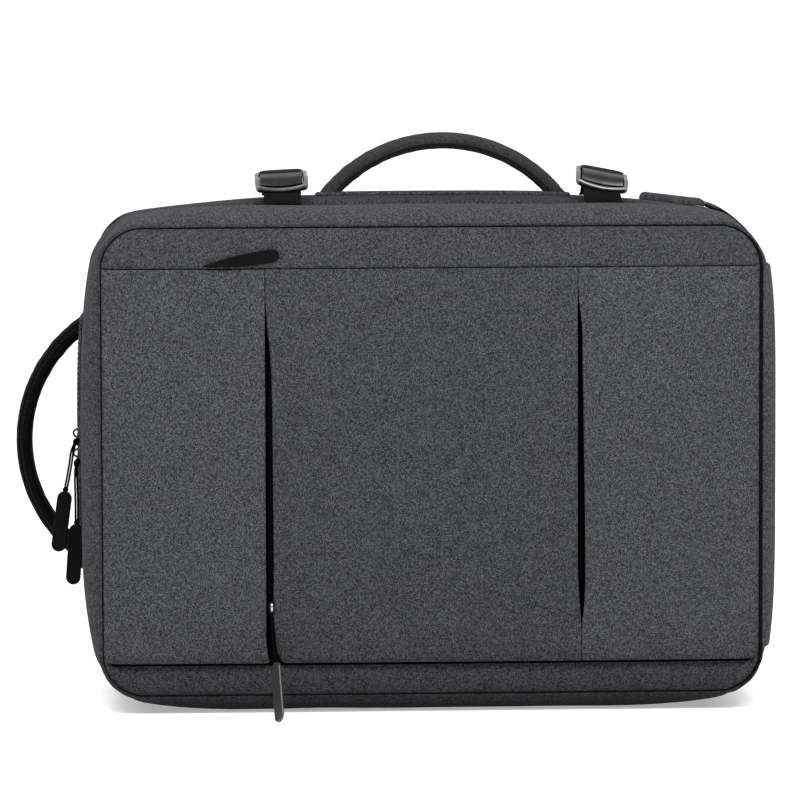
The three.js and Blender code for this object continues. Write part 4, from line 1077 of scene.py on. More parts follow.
def teeth(points, along, face, pitch, width, radius):
    """A closed coil: rods across the zip, one each pitch, set left and right in turn."""
    walked = along_line(points)
    count = int(walked[-1] / pitch)
    at = (np.arange(count) + 0.5) * walked[-1] / count
    origins = sampled(at, walked, points)
    along = unit(sampled(at, walked, along))
    face = unit(sampled(at, walked, face))
    across = unit(np.cross(face, along))
    turn = np.where(np.arange(count) % 2 == 0, 1, -1)[:, None]
    origins = origins + across * turn * width * 0.1
    leaning = unit(across + along * turn * 0.12)
    side = unit(np.cross(leaning, face))
    return copied(capsule(width, radius), origins, np.stack([side, leaning, face], 1))


def main_zip_shells(sizes):
    """Tape a little below the gussets' edges and the coil on it, round all but the right side."""
    tuck = 12 * MM
    distance = np.linspace(2 * RUN_Z - tuck, AROUND + tuck, 900)
    point, normal = gusset(sizes, True, distance, FRONT_SHELL_Y[1] + 0 * distance)
    point[:, 1] = ZIP_Y
    floor = point[:, 2] < 2 * MM
    point[floor, 2] = 2 * MM
    half = (REAR_SHELL_Y[0] - FRONT_SHELL_Y[1]) / 2 + 1.5 * MM
    section = rounded_section(2 * half, 0.9 * MM, 0.4 * MM, 2)
    line = point - normal * 1.9 * MM
    tape = swept(line, section, BACKWARD)
    along = np.gradient(point, axis=0)
    coil = teeth(point - normal * 1.2 * MM, along, normal, 1.9 * MM, 5.4 * MM, 0.72 * MM)
    return tape, coil


def pocket_zip_shells():
    """Tape on the slit's floor, deeper near the seam below, and the coil on it down to the
    slider, along the slit's middle line."""
    z = np.linspace(SLIT_BOTTOM + 1 * MM, SLIT_TOP, 160)
    wide = SLIT_WIDTH * slit_share(z)
    x = SLIT_X + 0.2 * MM + wide / 2
    deeper = 5 * MM * bell(z - SLIT_BOTTOM, 16 * MM)
    line = np.stack([x, FRONT_Y + 1.2 * MM + deeper, z], -1)
    tape = swept(line, rounded_section(LINING_WIDTH, 0.8 * MM, 0.3 * MM, 2), RIGHTWARD)
    above_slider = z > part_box("pocket_slider")[0].z
    shown = line[above_slider & (wide > 0.6 * SLIT_WIDTH)] + np.array([0, -0.9 * MM, 0])
    along = np.gradient(shown, axis=0)
    face = np.broadcast_to(-BACKWARD, shown.shape)
    coil = teeth(shown, along, face, 1.5 * MM, 3.6 * MM, 0.55 * MM)
    return tape, coil


def slider_shells(width, rise):
    """Zip slider: a waisted plate with round edges, and the arched bridge on it."""
    share = np.linspace(-1, 1, 25)
    waist = 1 - 0.18 * bell(share - 0.25, 0.35)
    half = width / 2 * waist * np.maximum(round_end(share, 6), 0.25)
    section = np.stack([rounded_section(2 * h, SLIDER_PLATE, 0.8 * MM, 3) for h in half])
    line = together(0, share * SLIDER_LENGTH / 2, 1.5 * MM)
    plate = swept(line, section, RIGHTWARD)
    turn = np.linspace(0, np.pi, 17)
    arch = together(0, -np.cos(turn) * BRIDGE_REACH, 2.4 * MM + np.sin(turn) ** 0.7 * rise)
    strip = rounded_section(width * 0.3, rise * 0.3, 0.45 * MM, 3)
    bridge = swept(arch, strip, RIGHTWARD)
    return plate, bridge


# Handles

def handle_line(middle, out, along, rise, count=90):
    """Arc of a circle over the base plate, from foot to foot and a little way in."""
    radius = (HANDLE_HALF_SPAN ** 2 + rise ** 2) / (2 * rise)
    spread = math.asin(HANDLE_HALF_SPAN / radius) + 0.06
    angle = np.linspace(-spread, spread, count)[:, None]
    return middle + out * (rise - radius) + radius * (along * np.sin(angle) + out * np.cos(angle))


GROOVE_DEPTH, GROOVE_WIDTH = 0.9 * MM, 0.13
WRINKLE_DEPTH, WRINKLE_LENGTH = 0.25 * MM, 13 * MM


def handle_grid(line):
    """Padded tube: a superellipse carried along the arc, flatter at its feet, with a groove
    where its cover is sewn together."""
    count = 56
    share = np.abs(np.linspace(-1, 1, len(line)))[:, None]
    angle = (np.arange(count) + 0.5) * 2 * np.pi / count
    groove = bell(angle - HANDLE_SEAM, GROOVE_WIDTH) * GROOVE_DEPTH
    base = oval(HANDLE_WIDTH, HANDLE_THICKNESS, count, 0.72)
    section = base - unit(base) * groove[:, None]
    across = section[None, :, 0] * (1 - 0.1 * share ** 6)
    out = section[None, :, 1] + 0 * share
    walked = along_line(line)[:, None]
    wrinkle = WRINKLE_DEPTH * ripple(walked + 0.3 * across, WRINKLE_LENGTH, 31) * (0.4 + share ** 2)
    grid = np.stack([across, out + np.sign(out) * wrinkle], -1)
    return carried(line, grid, BACKWARD)


# Camera, floor and light

FLOOR_REACH = 30.0
CAMERA_DISTANCE, CAMERA_LENS = 4.0, 266.0
CAMERA_AZIMUTH, CAMERA_ELEVATION, CAMERA_ROLL = (math.radians(a) for a in (2.9, 6.0, -0.18))
CAMERA_CENTRE = Vector((0, 0, 0.167))
CAMERA_AIM = Vector((-0.0175, 0, 0.2022))


def add_camera():
    ahead = Vector((
        math.sin(CAMERA_AZIMUTH) * math.cos(CAMERA_ELEVATION),
        math.cos(CAMERA_AZIMUTH) * math.cos(CAMERA_ELEVATION),
        -math.sin(CAMERA_ELEVATION),
    ))
    spot = CAMERA_CENTRE - ahead * CAMERA_DISTANCE
    ahead = (CAMERA_AIM - spot).normalized()
    level = ahead.cross(Vector((0, 0, 1))).normalized()
    rise = level.cross(ahead)
    right = level * math.cos(CAMERA_ROLL) + rise * math.sin(CAMERA_ROLL)
    up = rise * math.cos(CAMERA_ROLL) - level * math.sin(CAMERA_ROLL)
    camera = bpy.data.objects.new("camera", bpy.data.cameras.new("camera"))
    camera.data.lens = CAMERA_LENS
    camera.data.clip_end = 50
    turned = Matrix((right, up, -ahead)).transposed().to_4x4()
    camera.matrix_world = Matrix.Translation(spot) @ turned
    bpy.context.scene.collection.objects.link(camera)
    bpy.context.scene.camera = camera


def add_light(name, spot, aim, size, power):
    light = bpy.data.lights.new(name, "AREA")
    light.shape = "DISK"
    light.size = size
    light.energy = power
    lamp = bpy.data.objects.new(name, light)
    lamp.location = spot
    lamp.rotation_euler = (Vector(aim) - Vector(spot)).to_track_quat("-Z", "Y").to_euler()
    bpy.context.scene.collection.objects.link(lamp)


def add_world(front, behind, above):
    """White surroundings, brighter behind the bag and brightest overhead."""
    world = bpy.data.worlds.new("studio")
    world.use_nodes = True
    tree = world.node_tree
    split = tree.nodes.new("ShaderNodeSeparateXYZ")
    tree.links.new(tree.nodes.new("ShaderNodeTexCoord").outputs["Generated"], split.inputs[0])
    total = front
    for output, low, high, gain in ((1, -0.2, 0.3, behind - front), (2, 0.45, 0.75, above - behind)):
        share = tree.nodes.new("ShaderNodeMapRange")
        share.interpolation_type = "SMOOTHSTEP"
        share.inputs["From Min"].default_value = low
        share.inputs["From Max"].default_value = high
        share.inputs["To Max"].default_value = gain
        tree.links.new(split.outputs[output], share.inputs["Value"])
        add = tree.nodes.new("ShaderNodeMath")
        tree.links.new(share.outputs[0], add.inputs[0])
        if isinstance(total, bpy.types.NodeSocket):
            tree.links.new(total, add.inputs[1])
        else:
            add.inputs[1].default_value = total
        total = add.outputs[0]
    tree.links.new(total, tree.nodes["Background"].inputs["Strength"])
    tree.nodes["Background"].inputs["Color"].default_value = (1, 1, 1, 1)
    bpy.context.scene.world = world


class BACKPACK_OT_stage(bpy.types.Operator):
    """Add the camera, the pale floor and the soft studio light"""

    bl_idname = "backpack.stage"
    bl_label = "Stage"

    def execute(self, context):
        add_camera()
        context.scene.view_settings.view_transform = "Standard"
        add_world(front=0.3, behind=1.0, above=1.7)
        for name, side in (("left_light", -1), ("right_light", 1)):
            add_light(name, (side * 0.5, -0.72, 1.1), aim=(0, 0, 0.2), size=0.6, power=10)
        mesh = bpy.data.meshes.new("floor")
        square = [(x * FLOOR_REACH, y * FLOOR_REACH, 0) for x, y in ((-1, -1), (1, -1), (1, 1), (-1, 1))]
        mesh.from_pydata(square, [], [(0, 1, 2, 3)])
        mesh.materials.append(finish_of("floor"))
        floor = bpy.data.objects.new("floor", mesh)
        context.scene.collection.objects.link(floor)
        floor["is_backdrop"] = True
        return {"FINISHED"}


# Pull cords and pads

def route_line(name, count=40):
    return smooth_line(np.array(CORD_ROUTES[name]) * MM, count)


def pad_shell(length, width=PAD_WIDTH, root=1.0):
    """Moulded pad: a stadium whose section has a raised rim and a shallow hollow, with a short
    neck at the cord's end. A root under one tapers it along a quarter of a sine to that share
    of its width."""
    share = np.linspace(0, 1, 60)
    y = share * length
    radius = width / 2
    near = np.clip(1 - y / radius, 0, 1)
    far = np.clip(1 - (length - y) / radius, 0, 1)
    half = radius * np.sqrt(np.clip(1 - np.maximum(near * 0.96, far * 0.985) ** 2, 0, 1))
    half = half * (root + (1 - root) * np.sin(np.minimum(1, share / 0.7) * np.pi / 2))
    angle = np.linspace(0, 2 * np.pi, 40, endpoint=False)
    across = np.cos(angle)
    rise = np.sign(np.sin(angle)) * np.abs(np.sin(angle)) ** 0.45
    rim = 1 - 0.26 * np.clip(1 - (np.abs(across) / 0.78) ** 8, 0, 1)
    inner = np.clip((half / radius - 0.55) / 0.3, 0, 1)[:, None]
    out = rise * (1 + (rim - 1) * inner) * PAD_THICKNESS / 2
    grid = np.stack([across * half[:, None], out * np.minimum(1, 0.55 + half[:, None] / radius)], -1)
    line = together(0, y, 0)
    return swept(line, grid, RIGHTWARD)


def pull_axes(name):
    """Where a pad starts, and its side, length and face directions."""
    _, along, face = PADS[name]
    along = unit(along)
    side = unit(np.cross(along, face))
    start = np.array(CORD_ROUTES[name][-1]) * MM + along * 0.5 * MM
    return start, side, along, np.cross(side, along)


class BACKPACK_OT_pulls(bpy.types.Operator):
    """Add the three pull cords and the moulded pads that they hold"""

    bl_idname = "backpack.pulls"
    bl_label = "Zip pulls"

    def execute(self, context):
        for name in CORD_ROUTES:
            start, side, along, face = pull_axes(name)
            # the front pad is glossier, and its colour is painted lighter as painted reflection
            rubber = "gloss_rubber" if name == "front" else "rubber"
            pad = make(f"pad_{name}", placed(pad_shell(PADS[name][0] * MM), start, side, along, face),
                       rubber, [f"pull_pad_{name}"], 50)
            line = route_line(name)
            gap = STRAND * 0.54
            spread = np.clip(np.sin(np.linspace(0.12, 1, 40) * np.pi * 0.75) * 1.2, 0.2, 1)[:, None]
            strands = []
            apart = unit(np.cross(along, (0, -1, 0)))
            for turn in (-1, 1):
                strand = line + apart * turn * gap * spread
                strands.append(swept(strand, oval(STRAND, STRAND, 10, 1.0), apart))
            lump = np.sin(np.linspace(0.35, 2.9, 12))[:, None, None]
            knot = carried(line[-1] + along * np.linspace(-2.6, 1.4, 12)[:, None] * MM,
                           oval(4.2 * MM, 3.2 * MM, 14, 0.9) * lump, side)
            hitch = carried(smooth_line(line[:7], 12), oval(4.6 * MM, 3.4 * MM, 14, 0.9) * lump, apart)
            knots = [tube(knot)] if name == "front" else [tube(knot), tube(hitch)]
            cord = make(f"cord_{name}", merged(strands + knots), "braid",
                        [f"pull_cord_{name}"], 60)
        return {"FINISHED"}


class BACKPACK_OT_gussets(bpy.types.Operator):
    """Add the front and rear gussets and the raised base panel"""

    bl_idname = "backpack.gussets"
    bl_label = "Gussets"

    def execute(self, context):
        sizes = context.scene.backpack_sizes
        for name, shell, kind, node in (
            ("front_gusset", gusset_shell(sizes, True), "heather", "front_shell"),
            # the rear gusset takes the darker copy of the cloth, as painted shade
            ("rear_gusset", gusset_shell(sizes, False), "rear_heather", "rear_shell"),
            # the raised base takes the lighter copy of the cloth, as painted light
            ("raised_base", base_panel_shell(sizes), "side_heather", "base_panel"),
        ):
            make(name, shell, kind, [node], 60)
        return {"FINISHED"}


class BACKPACK_OT_zips(bpy.types.Operator):
    """Add the main zip, the pocket zip and their sliders"""

    bl_idname = "backpack.zips"
    bl_label = "Zips"

    def execute(self, context):
        sizes = context.scene.backpack_sizes
        tape, coil = main_zip_shells(sizes)
        make("main_zip_tape", tape, "tape", ["main_zip"], 60)
        make("main_zip_coil", coil, "coil")
        tape, coil = pocket_zip_shells()
        # the pocket zip's tape is near black, painted shade in the slit
        make("pocket_zip_tape", tape, "lining", ["pocket_zip"], 60)
        make("pocket_zip_coil", coil, "coil")
        down = (0, 0, -1)
        for name in ("main_slider_upper", "main_slider_lower", "pocket_slider"):
            low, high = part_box(name)
            middle = (low + high) / 2
            main = name.startswith("main")
            seat = (high.x, middle.y, middle.z) if main else (middle.x, high.y, middle.z)
            face = np.array((-1, 0, 0) if main else (0, -1, 0))
            side = np.cross(down, face)
            width = MAIN_SLIDER_WIDTH if main else POCKET_SLIDER_WIDTH
            shells = slider_shells(width, MAIN_BRIDGE_RISE if main else POCKET_BRIDGE_RISE)
            plate, bridge = (placed(shell, seat, side, down, face) for shell in shells)
            make(name + "_body", plate, "slider", [name], 50)
            # the pocket slider's bridge is painted light, as a painted highlight
            metal = "dark_bridge" if main else "bridge"
            make(name + "_bridge", bridge, metal, (), 50)
        return {"FINISHED"}


def piping_shell(y, out, radius, wavelength, right=0.0):
    """Round cord along the outline, so far out of it, its radius faintly uneven and larger by a
    share on the right side; on the dark seam cord that widening is painted shade of the gap there."""
    distance = np.arange(PIPING_STEPS) / PIPING_STEPS * AROUND
    x, z, nx, nz = outline(distance)
    angle = np.arange(PIPING_SIDES) * 2 * np.pi / PIPING_SIDES
    fuller = right * np.maximum(nx, 0) ** 2
    uneven = 1 + 0.12 * ripple(distance, wavelength, 41, AROUND) + fuller
    around = radius * uneven[:, None]
    off = out + radius * fuller[:, None] * 0.9 + around * np.cos(angle)
    points = np.stack([
        x[:, None] + nx[:, None] * off,
        y + around * np.sin(angle),
        CENTRE_Z + z[:, None] + nz[:, None] * off,
    ], -1)
    return tube(points, ring=True)


class BACKPACK_OT_piping(bpy.types.Operator):
    """Add the cloth-bound piping round the front and the back panel, with its dark binding seam, partly real
    binding and partly painted shade of the groove
    """

    bl_idname = "backpack.piping"
    bl_label = "Piping"

    def execute(self, context):
        for name, edge, turn in (("front_piping", FRONT_Y, 1), ("back_piping", BACK_Y, -1)):
            cord = piping_shell(edge + turn * CORD_BACK, CORD_OUT, CORD_RADIUS, 9 * MM)
            make(name + "_cord", cord, "bound", [name], 60)
            # Dark seam cord: the real binding, and painted shade of the groove beside the piping, widest on
            # the right
            seam = piping_shell(edge + turn * BOUND_BACK, BOUND_OUT, BOUND_RADIUS, 4 * MM, 2.4)
            make(name + "_seam", seam, "piping", (), 60)
        return {"FINISHED"}


class BACKPACK_OT_front(bpy.types.Operator):
    """Add the front face's bands, pocket flap and pleated panel"""

    bl_idname = "backpack.front"
    bl_label = "Front face"

    def execute(self, context):
        sizes = context.scene.backpack_sizes
        middle, right = front_panel_leaves(sizes)
        linings = [pleat_lining_shell()] + [seam_lining_shell(z) for z in (TOP_SEAM_Z, BOTTOM_SEAM_Z)]
        # near-black tapes behind the pleat and the cross seams: painted shade that shows through them
        make("seam_tapes", merged(linings), "lining", (), 60)
        for name, shell, kind, replaced in (
            ("top_band", top_band_shell(), "heather", ["top_band"]),
            ("bottom_band", bottom_band_shell(sizes), "heather", ["bottom_band"]),
            # the flap and the pleated side take the lighter copy of the cloth, as painted light
            ("pocket_flap", flap_shell(sizes), "side_heather", ["pocket_flap"]),
            ("front_panel", middle, "heather", ["front_panel"]),
            ("pleated_side", right, "side_heather", ()),
        ):
            make(name + "_cloth", shell, kind, replaced, 60)
        return {"FINISHED"}


def handle_middle(sizes, top):
    """Foot of a handle's middle on the rear gusset, with its outward and lengthwise directions."""
    distance = top_distance(TOP_HANDLE_X) if top else left_distance(SIDE_HANDLE_Z)
    point, normal = gusset(sizes, False, np.array([distance]), np.array([HANDLE_Y]))
    along = RIGHTWARD if top else UPWARD
    return point[0], normal[0], along, distance


class BACKPACK_OT_handles(bpy.types.Operator):
    """Add the padded top and side handles on their sewn base plates"""

    bl_idname = "backpack.handles"
    bl_label = "Handles"

    def execute(self, context):
        sizes = context.scene.backpack_sizes
        for name, top, rise in (("top", True, TOP_HANDLE_RISE), ("side", False, SIDE_HANDLE_RISE)):
            middle, out, along, distance = handle_middle(sizes, top)
            line = handle_line(middle, out, along, rise)
            if not top:
                line = line[::-1]
            grid = handle_grid(line)
            # the side handle takes the same cloth painted far darker, as painted shade
            cloth = "handle" if top else "side_handle"
            handle = make(name + "_handle_pad", tube(grid), cloth, [name + "_handle"], 70)
            seam = grid[4:-4, int(HANDLE_SEAM / (2 * np.pi) * grid.shape[1]) - 2]
            face = unit(seam - line[4:-4])
            make(name + "_handle_stitches", stitching(seam, face), "thread")
            reach = HANDLE_HALF_SPAN + PLATE_OVERHANG
            start, end = distance - reach, distance + reach
            low_y, high_y = HANDLE_Y - PLATE_WIDTH / 2, HANDLE_Y + PLATE_WIDTH / 2
            make(name + "_handle_plate",
                 gusset_patch(sizes, False, start, end, low_y, high_y, GAP, PLATE_THICKNESS, (110, 30)),
                 "heather", [name + "_handle_base"], 60)
            lines = []
            across = np.linspace(low_y + PLATE_SEAM, high_y - PLATE_SEAM, 20)
            for at in (start + PLATE_SEAM, end - PLATE_SEAM):
                lines.append(gusset(sizes, False, np.full_like(across, at), across, GAP + PLATE_THICKNESS))
            lengths = np.linspace(start + PLATE_SEAM, end - PLATE_SEAM, 80)
            for y in (low_y + PLATE_SEAM, high_y - PLATE_SEAM):
                lines.append(gusset(sizes, False, lengths, np.full_like(lengths, y), GAP + PLATE_THICKNESS))
            make(name + "_plate_stitches", merged([stitching(*each) for each in lines]),
                 "grey_thread")
        return {"FINISHED"}


# Compression straps

BUCKLE_INSIDE = WEBBING_WIDTH + 3 * MM
BAR_STEP = BUCKLE_BAR + BUCKLE_SLOT
LIP_BOW, LIP_DIP = 1.4 * MM, 1.8 * MM
COVER_FRONT, COVER_RISE, COVER_THICKNESS = 3.2 * MM, 3 * MM, 1.1 * MM
WRAP_FRONT, WRAP_THICKNESS, WRAP_PLAY = -8.6 * MM, 5.6 * MM, 3.4 * MM


def buckle_axes(name):
    """Middle of a slide and its side, length and face directions, by its roll and its tilt."""
    low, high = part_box("buckle_" + name)
    roll, tilt = BUCKLE_ROLLS[name], BUCKLE_TILT
    side = np.array([math.cos(roll), 0, -math.sin(roll)])
    along = np.array([math.sin(roll) * math.sin(tilt), math.cos(tilt), math.cos(roll) * math.sin(tilt)])
    return np.array((low + high) / 2), side, along, np.cross(side, along)


def strap_line(sizes, name):
    """Middle line of the webbing: up off the front gusset, under the slide's bars, and down to
    the rear gusset."""
    middle, side, along, face = buckle_axes(name)
    under = BUCKLE_THICKNESS / 2 + WEBBING_THICKNESS / 2 + 0.5 * MM

    def laid(front, y, lift):
        edges = middle[0] + np.array([-0.5, 0, 0.5]) * WEBBING_WIDTH
        point, _ = gusset(sizes, front, top_distance(edges), np.full(3, y), 0.0)
        return np.array([middle[0], y, point[:, 2].max() + GAP + WEBBING_THICKNESS / 2 + lift])

    def held(at, up):
        return middle + along * at + face * up

    slot = BUCKLE_BAR / 2 + BUCKLE_SLOT
    end = BUCKLE_LENGTH / 2
    points = [
        laid(True, FRONT_SHELL_Y[1] - 10 * MM, 0),
        laid(True, FRONT_SHELL_Y[1] - 5 * MM, 0),
        laid(True, FRONT_SHELL_Y[1] + 0.5 * MM, 2 * MM),
        held(-end, -under),
        held(-slot, -under),
        held(0, -under),
        held(slot, -under),
        held(end, -under),
        laid(False, middle[1] + 0.62 * BUCKLE_LENGTH, 10 * MM),
        laid(False, middle[1] + 0.75 * BUCKLE_LENGTH, 5 * MM),
        laid(False, middle[1] + 0.98 * BUCKLE_LENGTH, 1 * MM),
        laid(False, middle[1] + 1.15 * BUCKLE_LENGTH, 0),
        laid(False, middle[1] + 1.4 * BUCKLE_LENGTH, 0),
    ]
    share = np.array([0, 0, 0.3, 1, 1, 1, 1, 1, 0.6, 0.3, 0, 0, 0])
    line = smooth_line(points, 150)
    walked = along_line(np.array(points))
    turn = np.interp(np.linspace(0, walked[-1], 150), walked, share)[:, None]
    return line, unit(RIGHTWARD * (1 - turn) + side * turn)


def webbing_section(width=WEBBING_WIDTH, thickness=WEBBING_THICKNESS):
    return rounded_section(width, thickness, thickness * 0.45, 3)


def bar_shell(width, at, height, section, bow=0.0, dip=0.0):
    """Bar across a slide: a section carried sideways, its middle bowed along and dipped."""
    share = np.linspace(-1, 1, 31)
    fall = 1 - share ** 2
    line = np.stack([share * width / 2, at - bow * fall, height - dip * fall], -1)
    return swept(line, section, BACKWARD)


def buckle_shell():
    """Die-cast slide: a slim curved lip in front, a round middle bar, a rear bar and two slender
    arms that rise to ears between them."""
    lip_section = rounded_section(3.6 * MM, 4.4 * MM, 1.6 * MM)
    rear_section = rounded_section(BUCKLE_BAR, BUCKLE_THICKNESS, 1 * MM)
    shells = [
        bar_shell(BUCKLE_INSIDE + 4 * MM, -BAR_STEP + 0.6 * MM, 0.4 * MM, lip_section, LIP_BOW, LIP_DIP),
        bar_shell(BUCKLE_INSIDE, 0, 0, rounded_section(BUCKLE_BAR, 2.4 * MM, 1.1 * MM)),
        bar_shell(BUCKLE_INSIDE + 2 * MM, BAR_STEP, 0, rear_section, -0.6 * MM),
    ]
    share = np.linspace(-1, 1, 41)
    for turn in (-1, 1):
        ear = 1.7 * MM * bell(share + 0.15, 0.42)
        x = turn * (BUCKLE_WIDTH / 2 - ARM_WIDTH / 2 + 0.4 * MM * (1 - share ** 2))
        line = np.stack([x, share * (BUCKLE_LENGTH / 2 - 0.6 * MM), ear * 0.6], -1)
        end = round_end(share, 10, 0.2)
        height = (BUCKLE_THICKNESS + ear) * end
        section = np.stack([rounded_section(ARM_WIDTH * e, h, 0.9 * MM) for e, h in zip(end, height)])
        shells.append(swept(line, section, RIGHTWARD))
    return merged(shells)


def plate_shell():
    """Curved plate over a slide's front slot: it rises by a quarter of a sine, and its front edge
    bows and dips with the lip, a little behind it."""
    across = 2 * clustered(30)[:, None] - 1
    back = clustered(20)[None, :]
    bow = LIP_BOW * (1 - across ** 2) * (1 - back)
    front, rear = COVER_FRONT - BUCKLE_BAR - BUCKLE_SLOT, 0.4 * BUCKLE_BAR
    rise = COVER_RISE * np.sin(np.minimum(1, 1.6 * back) * np.pi / 2)
    upper = together(
        across * BUCKLE_INSIDE / 2,
        front + (rear - front) * back - bow,
        2 * MM + rise - bow / 2,
    )
    return slab(upper, upper - UPWARD * COVER_THICKNESS)


def wrap_shell():
    """Webbing wound round a slide's middle and rear bars: a flat loop as wide as the strap,
    fuller towards the front, where it bulges over the slot."""
    front, rear = WRAP_FRONT, BAR_STEP + BUCKLE_BAR / 2 + WEBBING_THICKNESS
    loop = oval(rear - front, WRAP_THICKNESS, 48, 0.75)
    fuller = 1 + 0.3 * np.clip(-loop[:, 0] / (rear - front) * 2, -0.6, 1)
    loop = np.stack([loop[:, 0] + (front + rear) / 2, loop[:, 1] * fuller + 0.5 * MM], -1)
    share = 2 * clustered(24) - 1
    line = together(share * (WEBBING_WIDTH + WRAP_PLAY) / 2, 0, 0)
    thin = 1 - 0.1 * share ** 8
    shell = swept(line, loop * thin[:, None, None], BACKWARD)
    return shell | {"quad_uv": shell["quad_uv"][..., ::-1], "tri_uv": shell["tri_uv"][..., ::-1]}


class BACKPACK_OT_compression(bpy.types.Operator):
    """Add the two compression straps and their die-cast slides"""

    bl_idname = "backpack.compression"
    bl_label = "Compression straps"

    def execute(self, context):
        sizes = context.scene.backpack_sizes
        for name in BUCKLE_ROLLS:
            middle, side, along, face = buckle_axes(name)
            make(f"slide_{name}", placed(buckle_shell(), middle, side, along, face),
                 "metal", [f"buckle_{name}"], 50)
            make(f"slide_plate_{name}", placed(plate_shell(), middle, side, along, face),
                 "plate", (), 50)
            make(f"slide_wrap_{name}", placed(wrap_shell(), middle, side, along, face),
                 "wrap", (), 60)
            line, across = strap_line(sizes, name)
            make(f"compression_webbing_{name}", swept(line, webbing_section(), across),
                 "webbing", [f"compression_strap_{name}"], 60)
        return {"FINISHED"}


class BACKPACK_OT_top_pull(bpy.types.Operator):
    """Add the top pocket's pull, which comes out of the seam and lies on the band"""

    bl_idname = "backpack.top_pull"
    bl_label = "Top pull"

    def execute(self, context):
        low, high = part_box("top_pull")
        along = unit((1, 0, 0.15))
        face = -BACKWARD
        side = unit(np.cross(along, face))
        face = np.cross(side, along)
        start = np.array([SLIT_X - TOP_PULL_START, (low.y + high.y) / 2, TOP_SEAM_Z + 2 * MM])
        pad = pad_shell(TOP_PULL_LENGTH, 0.86 * PAD_WIDTH, 0.16)
        make("top_pull_pad", placed(pad, start, side, along, face), "rubber",
             ["top_pull"], 50)
        return {"FINISHED"}


# Back

STRAP_ROWS = (
    (-0.9, 0.26, 0.9, 0.55),
    (-0.82, 0.28, 0.95, 0.85),
    (-0.66, 0.33, 1, 1),
    (-0.45, 0.41, 1, 1),
    (-0.22, 0.47, 1, 1),
    (0, 0.5, 0.96, 1),
    (0.16, 0.51, 0.86, 0.95),
    (0.26, 0.52, 0.7, 0.75),
    (0.31, 0.53, 0.55, 0.35),
)
WEBBING_END = (0.88, 0.8)
YOKE_WIDTH, YOKE_HEIGHT = 22 * MM, 9 * MM
STRAP_PAD_SHARE = 0.94
STRAP_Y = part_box("shoulder_strap_upper")[0].y


def puffed(piece, voxel, cap):
    """Blows a pad up as cloth over air for twenty frames, then holds each point to within the
    cap of where it began, and smooths the result."""
    remesh = piece.modifiers.new("remesh", "REMESH")
    remesh.mode = "VOXEL"
    remesh.voxel_size = voxel
    settle(piece)
    start = vertex_array(piece.data)
    cloth = piece.modifiers.new("cloth", "CLOTH")
    cloth.settings.use_pressure = True
    cloth.settings.uniform_pressure_force = 4
    cloth.settings.effector_weights.gravity = 0
    cloth.point_cache.frame_start = 1
    cloth.point_cache.frame_end = 20
    for number in range(1, 21):
        bpy.context.scene.frame_set(number)
    settle(piece)
    bpy.context.scene.frame_set(1)
    moved = vertex_array(piece.data) - start
    length = np.linalg.norm(moved, axis=1, keepdims=True)
    held = start + moved * np.minimum(1, cap / np.maximum(length, 1e-9))
    piece.data.vertices.foreach_set("co", held.astype(np.float32).ravel())
    piece.data.polygons.foreach_set("use_smooth", np.ones(len(piece.data.polygons), bool))
    piece.data.update()
    smooth = piece.modifiers.new("smooth", "SUBSURF")
    smooth.levels = 1
    smooth.render_levels = 1
    return piece


def settle(piece):
    """Puts what the piece's modifiers make into its own mesh."""
    graph = bpy.context.evaluated_depsgraph_get()
    mesh = bpy.data.meshes.new_from_object(piece.evaluated_get(graph), depsgraph=graph)
    piece.modifiers.clear()
    mesh.name = piece.name
    piece.data = mesh


def vertex_array(mesh):
    points = np.zeros(len(mesh.vertices) * 3, np.float32)
    mesh.vertices.foreach_get("co", points)
    return points.reshape(-1, 3).astype(float)


def back_panel_shell():
    """Padded back: a crowned slab inside the piping, with two upright channels and one across."""
    z = (-HALF_HEIGHT + PANEL_INSET + (2 * (HALF_HEIGHT - PANEL_INSET)) * clustered(110))[None, :]
    share = clustered(150)[:, None]
    x = (2 * share - 1) * reach_x(z)
    low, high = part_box("back_panel")
    edge = np.maximum(inside_distance(x, z), 0)
    crown = (high.y - low.y) * (1 - 0.75 * (1 - np.clip(edge / (26 * MM), 0, 1)) ** 2.2)
    channels = np.zeros_like(crown)
    for at in CHANNELS:
        channels = channels + CHANNEL_DEPTH * bell(x - at * HALF_WIDTH, CHANNEL_WIDTH)
    channels = channels + CHANNEL_DEPTH * bell(z, CHANNEL_WIDTH)
    height = z + CENTRE_Z + 0 * x
    outer = low.y + crown - channels * np.clip(edge / (20 * MM), 0, 1) - 0.3 * MM
    front = together(x, low.y + 1 * MM, height)
    back = together(x, outer, height)
    return slab(back, front)


def strap_points(half):
    rows = np.array(STRAP_ROWS)
    share = np.linspace(0, 1, 90)
    place = np.linspace(0, 1, len(rows))
    x, z, wide, thick = (eased(share, list(zip(place, rows[:, k]))) for k in range(4))
    line = together(x * HALF_WIDTH, STRAP_Y, CENTRE_Z + half * z * HALF_HEIGHT)
    return line, wide, thick


def strap_frame(line):
    tangent = unit(np.gradient(line, axis=0))
    across = unit(np.cross(BACKWARD, tangent))
    return tangent, across


def strap_shell(half):
    """Shoulder strap: a flat oval carried along its line, thin at both ends, lying on the back."""
    line, wide, thick = strap_points(half)
    _, across = strap_frame(line)
    section = oval(1, 1, 36, 0.6)
    height = STRAP_THICKNESS * thick[:, None]
    grid = np.stack([section[None, :, 0] * STRAP_WIDTH * STRAP_PAD_SHARE * wide[:, None],
                     (section[None, :, 1] * 0.86) * height], -1)
    middle = line + BACKWARD * height / 2
    points = middle[:, None] + grid[..., :1] * across[:, None] + grid[..., 1:] * BACKWARD
    return tube(points)


